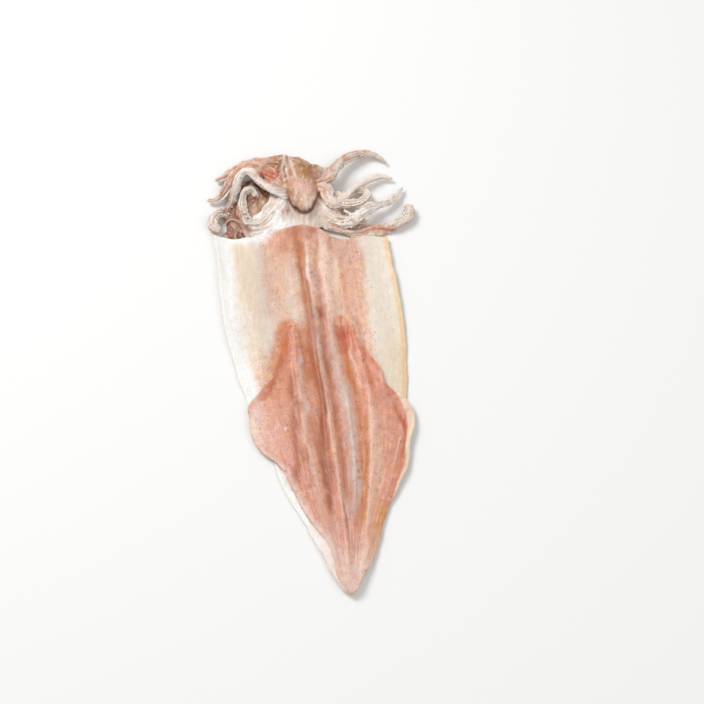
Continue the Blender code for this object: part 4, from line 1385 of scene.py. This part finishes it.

# %% [markdown]
# Pigment creeps out a little in front of the fins, and a rust line marks where each one starts,
# partly pigment and partly painted shade under its raised edge. The rolled margin of the right
# fin shows its bare inner side, and the left fin's margin is painted paler, partly its own colour
# and partly painted sheen. Last come a fleck of white and a row of dark spots.

# %% Paint the whole back
# Rust lines along the fins' front edges, partly pigment and partly painted shade under the raised edge
FIN_EDGE_LINES_AND_SHADE = (
    ((200, 116, 72), 0.8, 1.5, ((-42, 129), (-39.7, 132), (-32, 142), (-27.7, 153), (-22.6, 165),
     (-24, 174)), 1.0, 3),
    ((202, 120, 82), 0.66, 1.5, ((37.1, 127.7), (34, 133), (24.8, 153), (20.9, 160), (18.9, 171)), 1.0, 3),
)
RIGHT_MARGIN = (
    ((180, 90, 44), 0.90, 2.1, ((41.6, 88), (43.4, 97), (42.6, 109), (40.8, 116)), 0.8, 5),
    ((194, 118, 80), 0.50, 2.0, ((32.6, 64), (38.5, 73), (41.5, 87)), 0.8, 5),
)
# How wide the rolled margin is, by Y
MARGIN_WIDTH = ((55, 0.8), (73, 2.6), (87, 3.4), (99, 4.2), (110, 5.6), (117, 4.8), (128, 1.2), (132, 0))
DARK_SPOTS = (
    (13.7, 82.5), (13.8, 77.9), (13.4, 74.1), (10.1, 72.5),
    (-1.3, 214.7), (0, 208), (1.3, 202.1), (-1.1, 198),
)
ON_MANTLE = 0


def paint_back(x, y, hand):
    """Paints places on the mantle, or on the fin of this hand."""
    board = Canvas(x, y, IVORY, 101)
    paint_front(board, x, y)
    from_left, from_right = inside_fin(x, y, LEFT) / MM, inside_fin(x, y, RIGHT) / MM
    margin = np.minimum(from_left, from_right)
    covered = ease(-1.2, 1.6, margin + 0.6 * board.mottle) if hand == ON_MANTLE else np.ones_like(x)
    paint_arrowhead(board, covered * (1 - ease(172, 181, board.y + 3 * board.mottle)))
    halo = np.exp(-((np.minimum(margin, 0) / 6.8) ** 4)) * window(140, 156, 177, 186, board.y)
    halo = halo * (margin < 2.5) * (1 - covered * (hand == ON_MANTLE) * 0.4)
    board.lay((206, 126, 80), 0.76 * halo * (from_left < from_right), 1.0)
    board.lay((216, 158, 128), 0.20 * halo * (from_left >= from_right), 0.5)
    board.brush(FIN_EDGE_LINES_AND_SHADE)
    if hand == RIGHT:
        width = through(MARGIN_WIDTH, y / MM)
        rolled = 1 - ease(width - 0.7, width + 0.6, from_right)
        board.brush(RIGHT_MARGIN)
        board.lay((235, 209, 185), 0.95 * rolled * ease(0.2, 0.26, y / MANTLE_LENGTH), 0)
    if hand == LEFT:
        # The left fin's margin painted paler, partly its own colour and partly painted sheen
        pale_margin_and_sheen = (1 - ease(1.0, 6.0, from_left + 1.4 * board.mottle)) * window(16, 30, 92, 116, board.y)
        board.lay((240, 216, 206), 0.72 * pale_margin_and_sheen, 0.1)
    board.patch(MILK, 0.80, (-27.2, 106.9), (1.1, 0.9), 0)
    if hand == ON_MANTLE:
        board.patch((228, 192, 168), 0.45, (24, 171), (3.2, 5), 0.2)
    for spot in DARK_SPOTS:
        board.patch((120, 86, 76), 0.75, spot, (0.7, 0.9))
    return board


print("strokes round the fins", len(FIN_EDGE_LINES_AND_SHADE + RIGHT_MARGIN + DARK_SPOTS))

# %% [markdown]
# ## The colours of the head
#
# The arms are pale on the side of their suckers and tan on their back, each with its own amount
# of pigment. Some of the left ones keep only shreds of skin.

# %% Paint the arms
ARM_PIGMENT = {
    "left_1": 0.08, "left_2": 0.05, "left_3": 0.95, "left_4": 1.0, "right_1": 0.8, "right_2": 0.05,
    "right_3": 0.75, "right_4": 0.2, "tentacle_left": 1.0, "tentacle_right": 0.9, "shred": 0.1,
}

head_paint = Canvas(points[:, 0], points[:, 1], (228, 209, 194), 151, 1.0)
peeled = 0.85 * window(-40, -36, -16, -12, hx) * (hy < 262)
pigment = of_limb([ARM_PIGMENT[limb.name] for limb in limbs]) * (1 - peeled)
back_of_limb = np.maximum(ease(0.7, 1.7, from_suckers + 0.35 * head_paint.mottle), 1 - suckered)
coloured = pigment * back_of_limb * on_limb
patchy = ease(-0.5, 0.5, rough(length_along / (9 * MM), which * 7.0 + around, 153))
head_paint.lay((244, 240, 236), 0.75 * (1 - patchy) * (1 - pigment) * on_limb)
head_paint.lay((194, 148, 130), (0.45 + 0.45 * patchy) * coloured, 0.6)
head_paint.lay((190, 122, 78), 0.60 * coloured * ease(0.1, 0.7, head_paint.mottle), 0.8)
print("pigment on the arms", ARM_PIGMENT)

# %% [markdown]
# The dome is tan, with a painted highlight where it bulges towards us. Behind it the crown is
# ochre brown, with three pale ridges of skin, two dark pits beside them, and a rust-red place
# where the first arms on the left begin.

# %% Paint the dome and the crown
DOME_SKIN_AND_HIGHLIGHT = (
    ((217, 174, 164), 0.75, (2, 271), (6, 6), 0.2),
    ((204, 164, 142), 0.70, (-8, 264), (4, 8), 0.3),
    # Painted highlight on the dome's lower end, where it bulges towards us
    ((241, 214, 190), 0.90, (2.2, 262), (5.4, 7.2), 0.1),
    ((198, 154, 116), 0.65, (-9.0, 266), (3, 8), 0.4),
    ((206, 156, 118), 0.55, (8.5, 272), (2.6, 6), 0.4),
)

dome = (1 - ease(0.98, 1.10, from_dome)) * ease(6.5, 8.0, hz)
crown_skin = ease(276, 284, hy + 2 * head_paint.mottle) * window(-20, -15, 8, 13, hx) * ease(8, 11, hz)
head_paint.lay((211, 166, 143), 0.95 * dome, 0.35)
head_paint.brush(DOME_SKIN_AND_HIGHLIGHT, dome)
head_paint.patch((228, 176, 148), 0.85 * ease(6, 8, hz), (12.5, 272.5), (3.6, 6), 0.4)
head_paint.lay((180, 138, 104), 0.90 * crown_skin, 0.4)
head_paint.lay((146, 96, 50), 0.75 * crown_skin * ease(-0.1, 0.6, head_paint.mottle), 0.6)
head_paint.patch((172, 122, 66), 0.88 * ease(8, 11, hz), (1.5, 281.5), (7.0, 5.5), 0.5)
head_paint.patch((176, 112, 62), 0.80 * ease(8, 11, hz), (-16, 293), (4, 3), 0.8)
head_paint.patch((146, 106, 92), 0.60 * ease(6, 9, hz), (9, 282), (3.5, 5), 0.6)
for ridge in skin_ridges(0.9):
    head_paint.lay((238, 222, 212), 0.80 * ridge * on_crown, 0)
head_paint.patch((92, 56, 40), 0.85 * ease(7, 10, hz), (-13, 284), (1.4, 1.6), 0)
head_paint.patch((96, 58, 42), 0.75 * ease(7, 10, hz), (-10.6, 279), (1.2, 1.2), 0)
head_paint.patch((190, 78, 32), 0.95, (-19.5, 280.5), (5.6, 4.4), 0.7)
head_paint.patch((150, 100, 64), 0.70 * ease(9, 12, hz), (-18, 294), (7, 5), 0.8)
head_paint.patch((178, 96, 56), 0.88, (-26, 285.5), (5.0, 2.8), 0.7)
print("points on the dome", int((dome > 0.5).sum()))

# %% [markdown]
# Between the arms there are thin skins. Near the neck they are white flesh, and further out on
# the left they are brown, darkened with painted shade, and their darkest patches are painted
# shade in the holes between the arms.

# %% Paint the flesh between the limbs
HOLE_SKIN_AND_SHADE = (
    ((192, 160, 128), 0.90, (-28, 269), (3.6, 5), 0.2),
    ((76, 36, 20), 0.95, (-30.5, 277), (4.0, 4.0), 0),
    ((190, 140, 124), 0.70, (-36, 282), (3, 4), 0.3),
    ((96, 52, 32), 0.80, (-42, 255), (3.5, 5), 0),
)

off_limb = 1 - on_limb
white_foot = 1 - ease(0.9, 1.15, np.hypot((hx + 27) / 13, (hy - 252) / 11))
web_flesh = off_limb * (hz < 8.5) * (1 - dome) * np.maximum(ease(-27, -23, hx), white_foot)
head_paint.lay((246, 243, 240), 0.92 * web_flesh * (1 - ease(-9, -5, hx)), 0)
head_paint.lay((224, 208, 188), 0.85 * web_flesh * ease(-9, -3, hx), 0)
# Painted shadow on the collar under the dome's lower end
head_paint.patch((184, 160, 152), 0.60 * web_flesh, (1, 254), (9, 3.5), 0)
head_paint.patch((170, 130, 112), 0.92 * off_limb, (-12.5, 261), (5.5, 9), 0.2)
head_paint.patch((224, 204, 188), 0.80 * off_limb, (26, 250), (10, 8), 0.2)
head_paint.patch((200, 126, 86), 0.80 * (1 - ease(4.5, 6.5, hz)), (45, 243), (12, 4), 0.6)
between_arms = off_limb * (1 - ease(-26, -22, hx + 1.5 * head_paint.mottle)) * (1 - ease(5.0, 6.5, hz))
between_arms = between_arms * (1 - white_foot)
# Brown skin between the arms on the left, darkened with painted shade
head_paint.lay((132, 70, 42), 0.95 * between_arms, 0.3)
head_paint.lay((92, 44, 26), 0.78 * between_arms * ease(-0.1, 0.6, head_paint.mottle), 0.3)
# Tan skin and painted shade in the holes between the arms
head_paint.brush(HOLE_SKIN_AND_SHADE, between_arms)
head_paint.patch((134, 76, 46), 0.94, (-50.5, 268), (6.5, 17), 0.5)
head_paint.patch((140, 86, 58), 0.90, (-43.5, 254), (5.5, 7), 0.4)
head_paint.patch((206, 178, 152), 0.85 * between_arms, (-34.5, 265), (5, 4.5), 0.2)
head_paint.patch((236, 222, 208), 0.80 * (1 - ease(6.0, 8.0, hz)), (24, 246), (9, 7), 0.2)
print("points between the arms", int((between_arms > 0.5).sum()))

# %% [markdown]
# Last, painted shade darkens and browns the low places, the faces that turn down and the rim
# below the dome, and a painted highlight pales the crests, in two steps each. White flesh and
# pale arms take less of the shade.

# %% Shade the low places of the head
pale_limb = on_limb * (1 - pigment)
shelter = sheltered(points)
deep = hollows(head, 14)
facing_down = 1 - ease(-0.3, 0.5, normals[:, 2])
shade = np.maximum(ease(1.0, 4.5, shelter), 0.8 * facing_down)
shade = shade * (1 - 0.55 * web_flesh) * (1 - 0.5 * pale_limb)
takes_shade = (1 - 0.6 * web_flesh) * (1 - 0.5 * pale_limb)
# Painted shade in the low places and on faces that turn down
head_paint.lay((172, 118, 90), 0.62 * shade, 0.2)
# Deeper painted shade where a point lies far under what stands around it
head_paint.lay((112, 64, 40), 0.60 * ease(3.5, 7.5, shelter) * (1 - 0.7 * web_flesh))
# Painted shadow along the rim under the dome's lower end
head_paint.lay((96, 60, 46), 0.85 * np.clip(-brow / 0.9, 0, 1) * (hz > 6), 0)
# Painted shade in the hollows of the mesh, in two steps
head_paint.lay((170, 116, 90), 0.55 * ease(0.18, 0.75, deep) * takes_shade, 0.3)
head_paint.lay((110, 70, 50), 0.55 * ease(0.55, 1.2, deep) * takes_shade)
# Painted highlight on the crests
head_paint.lay((250, 243, 236), 0.34 * ease(0.08, 0.45, -deep))
print("deepest hollow", round(float(deep.max()), 2), "mm")

# %% [markdown]
# ## Node groups for the finish
#
# Paint alone looks like wax. Three effects are shared by the finishes, so each is a node group:
# dots of pigment, the grain of drying muscle, and the patchy film of moisture that makes some
# places shine. All are measured in metres on the object, so their scale is real.


# %% Helpers for the finish
def shader_group(name, numbers, results):
    """A shader node group with named numbers going in and coming out, and the place on the object."""
    tree = bpy.data.node_groups.new(name, "ShaderNodeTree")
    for label, value in numbers.items():
        tree.interface.new_socket(label, in_out="INPUT", socket_type="NodeSocketFloat").default_value = value
    for label in results:
        tree.interface.new_socket(label, in_out="OUTPUT", socket_type="NodeSocketFloat")
    place = add(tree, "ShaderNodeTexCoord").outputs["Object"]
    return tree, tree.nodes.new("NodeGroupInput").outputs, place


def noise_texture(tree, place, scale, detail, roughness=0.5):
    """The strength of a noise texture."""
    sizes = {"Vector": place, "Scale": scale, "Detail": detail, "Roughness": roughness}
    return add(tree, "ShaderNodeTexNoise", sizes).outputs[0]


def mix(tree, factor, a, b, blend="MIX"):
    """A mix of two colours."""
    return add(tree, "ShaderNodeMix", {0: factor, 6: a, 7: b}, data_type="RGBA", blend_type=blend).outputs[2]


print("finish helpers are ready")

# %% [markdown]
# Each dot is the middle of a cell of a Voronoi texture. A cell draws two lots from its own
# random colour: whether it has a dot at all, and how large that dot is. An image of dots would
# smear where the skin is folded.

# %% Build the dots of pigment
dots_group, given, place = shader_group(
    "pigment_dots", {"Spacing": 0.0016, "Size": 0.25, "Amount": 0.5}, ("Dots",),
)
scale = math_node(dots_group, "DIVIDE", 1.0, given["Spacing"])
cells = add(dots_group, "ShaderNodeTexVoronoi", {"Vector": place, "Scale": scale}, feature="F1")
lots = add(dots_group, "ShaderNodeSeparateColor", {0: cells.outputs["Color"]})
chosen = math_node(dots_group, "LESS_THAN", lots.outputs[0], given["Amount"])
radius = math_node(dots_group, "MULTIPLY", math_node(dots_group, "ADD", lots.outputs[1], 0.45), given["Size"])
nearness = math_node(dots_group, "SUBTRACT", radius, cells.outputs["Distance"])
soft = add(dots_group, "ShaderNodeMapRange", {"Value": nearness, "From Min": -0.06, "From Max": 0.16})
add(dots_group, "NodeGroupOutput", {"Dots": math_node(dots_group, "MULTIPLY", chosen, soft.outputs[0])})
print("numbers of the dots", [socket.name for socket in given if socket.name])

# %% [markdown]
# Muscle fibres run along the body, so their noise is stretched along Y. Pores are much finer
# and have no direction. The film of moisture is broad noise that moves between a dry and a wet
# roughness.

# %% Build the grain and the film of moisture
grain_group, given, place = shader_group(
    "muscle_grain", {"Fineness": 900.0, "Stretch": 0.32}, ("Height", "Mottle", "Drift"),
)
stretch = add(grain_group, "ShaderNodeCombineXYZ", {"X": 1.0, "Y": given["Stretch"], "Z": 1.0})
along = add(grain_group, "ShaderNodeVectorMath", {0: place, 1: stretch.outputs[0]}, operation="MULTIPLY")
fibres = noise_texture(grain_group, along.outputs[0], given["Fineness"], 5.0, 0.6)
pores = noise_texture(grain_group, place, 1500.0, 3.0)
blotches = noise_texture(grain_group, place, 240.0, 6.0, 0.65)
mottle = add(grain_group, "ShaderNodeMix", {"Factor": 0.2, "A": blotches, "B": fibres}, data_type="FLOAT")
add(grain_group, "NodeGroupOutput", {
    "Height": math_node(grain_group, "ADD", fibres, math_node(grain_group, "MULTIPLY", pores, 0.9)),
    "Mottle": mottle.outputs[0],
    "Drift": noise_texture(grain_group, place, 190.0, 6.0, 0.75),
})

film_group, given, place = shader_group(
    "moist_film", {"Dry": 0.55, "Wet": 0.30, "Scale": 90.0}, ("Roughness",),
)
film = add(film_group, "ShaderNodeMapRange", {
    "Value": noise_texture(film_group, place, given["Scale"], 4.0),
    "From Min": 0.35, "From Max": 0.65, "To Min": given["Dry"], "To Max": given["Wet"],
})
add(film_group, "NodeGroupOutput", {"Roughness": film.outputs[0]})
print("node groups", [group.name for group in bpy.data.node_groups])

# %% [markdown]
# ## Finishes
#
# The skin takes its ground colour from the painted attribute, darkens it with dots and varies
# it with the grain. Light goes a little way into flesh, so a small amount of subsurface scattering
# softens it. The inner face is bare muscle: paler, more even, and shinier.

# %% Make the finishes
WARMER = (1.05, 0.96, 0.74, 1)
COOLER = (1.00, 0.97, 1.06, 1)
SOFT_FLESH = {
    "Subsurface Weight": 0.18, "Subsurface Radius": (1.0, 0.42, 0.25), "Subsurface Scale": 0.0025,
    "Coat Weight": 0.18, "Coat Roughness": 0.30, "Specular IOR Level": 0.42,
}
BUMP_HEIGHT = 0.00035


def flesh_finish(material, dot_colour, bump, dry, wet, contrast):
    """Painted skin with dots of pigment, grain and a film of moisture."""
    material.use_nodes = True
    tree = material.node_tree
    shader = tree.nodes["Principled BSDF"]
    tint = add(tree, "ShaderNodeAttribute", attribute_name="tint").outputs["Color"]
    crowd = add(tree, "ShaderNodeAttribute", attribute_name="dots").outputs["Fac"]
    grain = add(tree, "ShaderNodeGroup", node_tree=grain_group)
    pale = add(tree, "ShaderNodeMapRange", {
        "Value": grain.outputs["Mottle"], "From Min": 0.34, "From Max": 0.66,
        "To Min": 1 - contrast, "To Max": 1 + contrast,
    })
    grey = add(tree, "ShaderNodeCombineColor", {channel: pale.outputs[0] for channel in (0, 1, 2)})
    mottled = mix(tree, 1.0, tint, grey.outputs[0], "MULTIPLY")
    much = math_node(tree, "ADD", math_node(tree, "MULTIPLY", crowd, 1.3), 0.35)
    skin = mix(tree, math_node(tree, "MINIMUM", much, 1.0), tint, mottled)
    warm = mix(tree, 1.0, skin, WARMER, "MULTIPLY")
    cool = mix(tree, 1.0, skin, COOLER, "MULTIPLY")
    drift = add(tree, "ShaderNodeMapRange", {
        "Value": grain.outputs["Drift"], "From Min": 0.38, "From Max": 0.62,
    })
    drifted = mix(tree, drift.outputs[0], warm, cool)
    skin = mix(tree, math_node(tree, "MINIMUM", math_node(tree, "MULTIPLY", crowd, 1.6), 1.0), skin, drifted)
    # Fine dots, a bed of middle ones and large spots: spacing in metres, size, strength and colour
    for spacing, size, strength, colour in (
        (0.0005, 0.36, 0.30, BRICK), (0.0010, 0.36, 0.46, BRICK), (0.0027, 0.15, 0.70, dot_colour),
    ):
        sizes = {"Spacing": spacing, "Size": size, "Amount": crowd}
        dots = add(tree, "ShaderNodeGroup", sizes, node_tree=dots_group)
        skin = mix(tree, math_node(tree, "MULTIPLY", dots.outputs[0], strength), skin, (*paint(colour), 1))
    film = add(tree, "ShaderNodeGroup", {"Dry": dry, "Wet": wet}, node_tree=film_group)
    heights = {"Strength": bump, "Distance": BUMP_HEIGHT, "Height": grain.outputs["Height"]}
    relief = add(tree, "ShaderNodeBump", heights)
    tree.links.new(skin, shader.inputs["Base Color"])
    tree.links.new(film.outputs[0], shader.inputs["Roughness"])
    tree.links.new(relief.outputs[0], shader.inputs["Normal"])
    for label, value in SOFT_FLESH.items():
        shader.inputs[label].default_value = value


skin_material = bpy.data.materials.new("squid_skin")
inner_material = bpy.data.materials.new("inner_flesh")
flesh_finish(skin_material, UMBER, bump=0.70, dry=0.46, wet=0.28, contrast=0.16)
flesh_finish(inner_material, UMBER, bump=0.35, dry=0.42, wet=0.26, contrast=0.05)
flesh_finish(arm_material, UMBER, bump=0.60, dry=0.50, wet=0.30, contrast=0.12)
flesh_finish(sucker_material, BROWN, bump=0.25, dry=0.45, wet=0.28, contrast=0.06)
print("flesh finishes", [m.name for m in (skin_material, inner_material, arm_material, sucker_material)])

# %% [markdown]
# A dried eye is nearly black, with a grey cloud in its lens, and much glossier than the skin.

# %% Make the finish of the eyes
eye_material = bpy.data.materials.new("dried_eye")
eye_material.use_nodes = True
eye_tree = eye_material.node_tree
eye_shader = eye_tree.nodes["Principled BSDF"]
eye_place = add(eye_tree, "ShaderNodeTexCoord").outputs["Object"]
cloud = noise_texture(eye_tree, eye_place, 420.0, 3.0)
eye_colour = mix(eye_tree, cloud, (0.010, 0.008, 0.010, 1), (0.075, 0.062, 0.066, 1))
eye_tree.links.new(eye_colour, eye_shader.inputs["Base Color"])
eye_shader.inputs["Roughness"].default_value = 0.14
print("finishes", [m.name for m in bpy.data.materials])

# %% [markdown]
# ## Paint and finish come together
#
# Each point of a piece stores its painted colour and how crowded the dots are there, and the
# finish reads both. Painted shade darkens the grooves, browner where the dots crowd, and a
# painted highlight pales the crests. The inner face of the mantle and the fins is bare muscle,
# with a brownish line along the groove of the pen.


# %% Put paint and finishes on the pieces
def wear(piece, board, *materials):
    """Stores the painted colour on a piece and gives it its materials."""
    colour = np.clip(board.colour, 0.005, 1)
    store(piece.data, "tint", "FLOAT_COLOR", np.column_stack([colour, np.ones(len(colour))]))
    store(piece.data, "dots", "FLOAT", np.clip(board.dots, 0, 1))
    piece.data.materials.clear()
    for material in materials:
        piece.data.materials.append(material)


def paint_inside(board, piece):
    """The lower half of a sheet's points is its inner face, which is bare, pale muscle."""
    half = len(board.colour) // 2
    x, y = places(piece)[half:, :2].T
    inner = Canvas(x, y, (232, 220, 203), 171)
    inner.lay(PINK, 0.30 * np.clip(0.5 + inner.mottle, 0, 1))
    inner.lay((214, 190, 172), 0.5 * bell(x - side(MIDLINE, y), 3.5 * MM))
    board.colour[half:] = inner.colour
    board.dots[half:] = 0


def paint_groove_shade_and_crest_highlight(board, piece):
    """Paints shade into the grooves, browner where the dots crowd, and a highlight onto the crests."""
    deep = hollows(piece, 8)
    holds_pigment = np.clip(board.dots * 2, 0, 1)
    # Painted shade in the grooves
    board.lay((180, 104, 58), (0.10 + 0.40 * holds_pigment) * ease(0.02, 0.24, deep))
    # Painted highlight on the crests
    board.lay((246, 230, 214), 0.26 * ease(0.03, 0.25, -deep))


def stained(piece, ground, stain, seed, dots=None):
    """Paints a piece in one ground colour with soft stains."""
    x, y, _ = places(piece).T
    board = Canvas(x, y, ground, seed)
    board.lay(stain, 0.6 * np.clip(board.mottle, 0, 1), dots)
    return board


for piece, hand in ((mantle, ON_MANTLE), (fins[LEFT], LEFT), (fins[RIGHT], RIGHT)):
    x, y, _ = places(piece).T
    board = paint_back(x, y, hand)
    # Painted shade in the grooves and painted highlight on the crests
    paint_groove_shade_and_crest_highlight(board, piece)
    paint_inside(board, piece)
    wear(piece, board, skin_material, inner_material)
wear(head, head_paint, arm_material)
wear(webs, stained(webs, (244, 234, 220), (214, 166, 142), 183, 0.2), arm_material)
wear(suckers, stained(suckers, (241, 233, 222), (202, 158, 132), 181), sucker_material)
eyes.data.materials.append(eye_material)
print("painted", [piece.name for piece in (mantle, *fins.values(), head, webs, suckers, eyes)])

# %% [markdown]
# ## Hand the pieces over
#
# The squid is one rigid body, so everything rides on the root. The new pieces stand for the
# plain solid, which is then hidden.

# %% Tie every piece to the body
SLOTS = (
    (mantle, "skin"), (fins[LEFT], "skin"), (fins[RIGHT], "skin"), (head, "skin"), (webs, "flesh"),
    (suckers, "flesh"), (eyes, "eyes"),
)
for piece, slot in SLOTS:
    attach(piece, "root")
    if slot == "skin":
        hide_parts("dried_squid")
print("pieces", len(SLOTS))

# %% [markdown]
# ## The floor and the light
#
# A pale floor and a soft light from above, a little from behind on the left, as in a bright
# kitchen. The light from all round fills the shadows.

# %% Floor and lights
FLOOR_HALF = 3
FLOOR_HEIGHT = -0.0001

floor_mesh = bpy.data.meshes.new("floor")
corners = [(x * FLOOR_HALF, y * FLOOR_HALF, FLOOR_HEIGHT) for x, y in ((-1, -1), (1, -1), (1, 1), (-1, 1))]
floor_mesh.from_pydata(corners, [], [(0, 1, 2, 3)])
floor = new_object("floor", floor_mesh)
floor_material = bpy.data.materials.new("pale_floor")
floor_material.use_nodes = True
floor_shader = floor_material.node_tree.nodes["Principled BSDF"]
floor_shader.inputs["Base Color"].default_value = (0.90, 0.90, 0.89, 1)
floor_shader.inputs["Roughness"].default_value = 0.8
floor_mesh.materials.append(floor_material)


def softbox(name, place, size, power):
    """A square light that looks at the middle of the frame."""
    light = bpy.data.lights.new(name, "AREA")
    light.size = size
    light.energy = power
    lamp = new_object(name, light)
    lamp.location = place
    lamp.rotation_euler = Vector(place).to_track_quat("Z", "Y").to_euler()


softbox("key", (-0.75, 0.75, 1.35), 0.75, 17.6)
softbox("fill", (0.80, -0.50, 1.30), 1.10, 5.0)
world = bpy.data.worlds.new("room")
world.use_nodes = True
background = world.node_tree.nodes["Background"]
background.inputs["Color"].default_value = (1, 1, 1, 1)
background.inputs["Strength"].default_value = 0.48
bpy.context.scene.world = world
bpy.context.scene.view_settings.view_transform = "Standard"
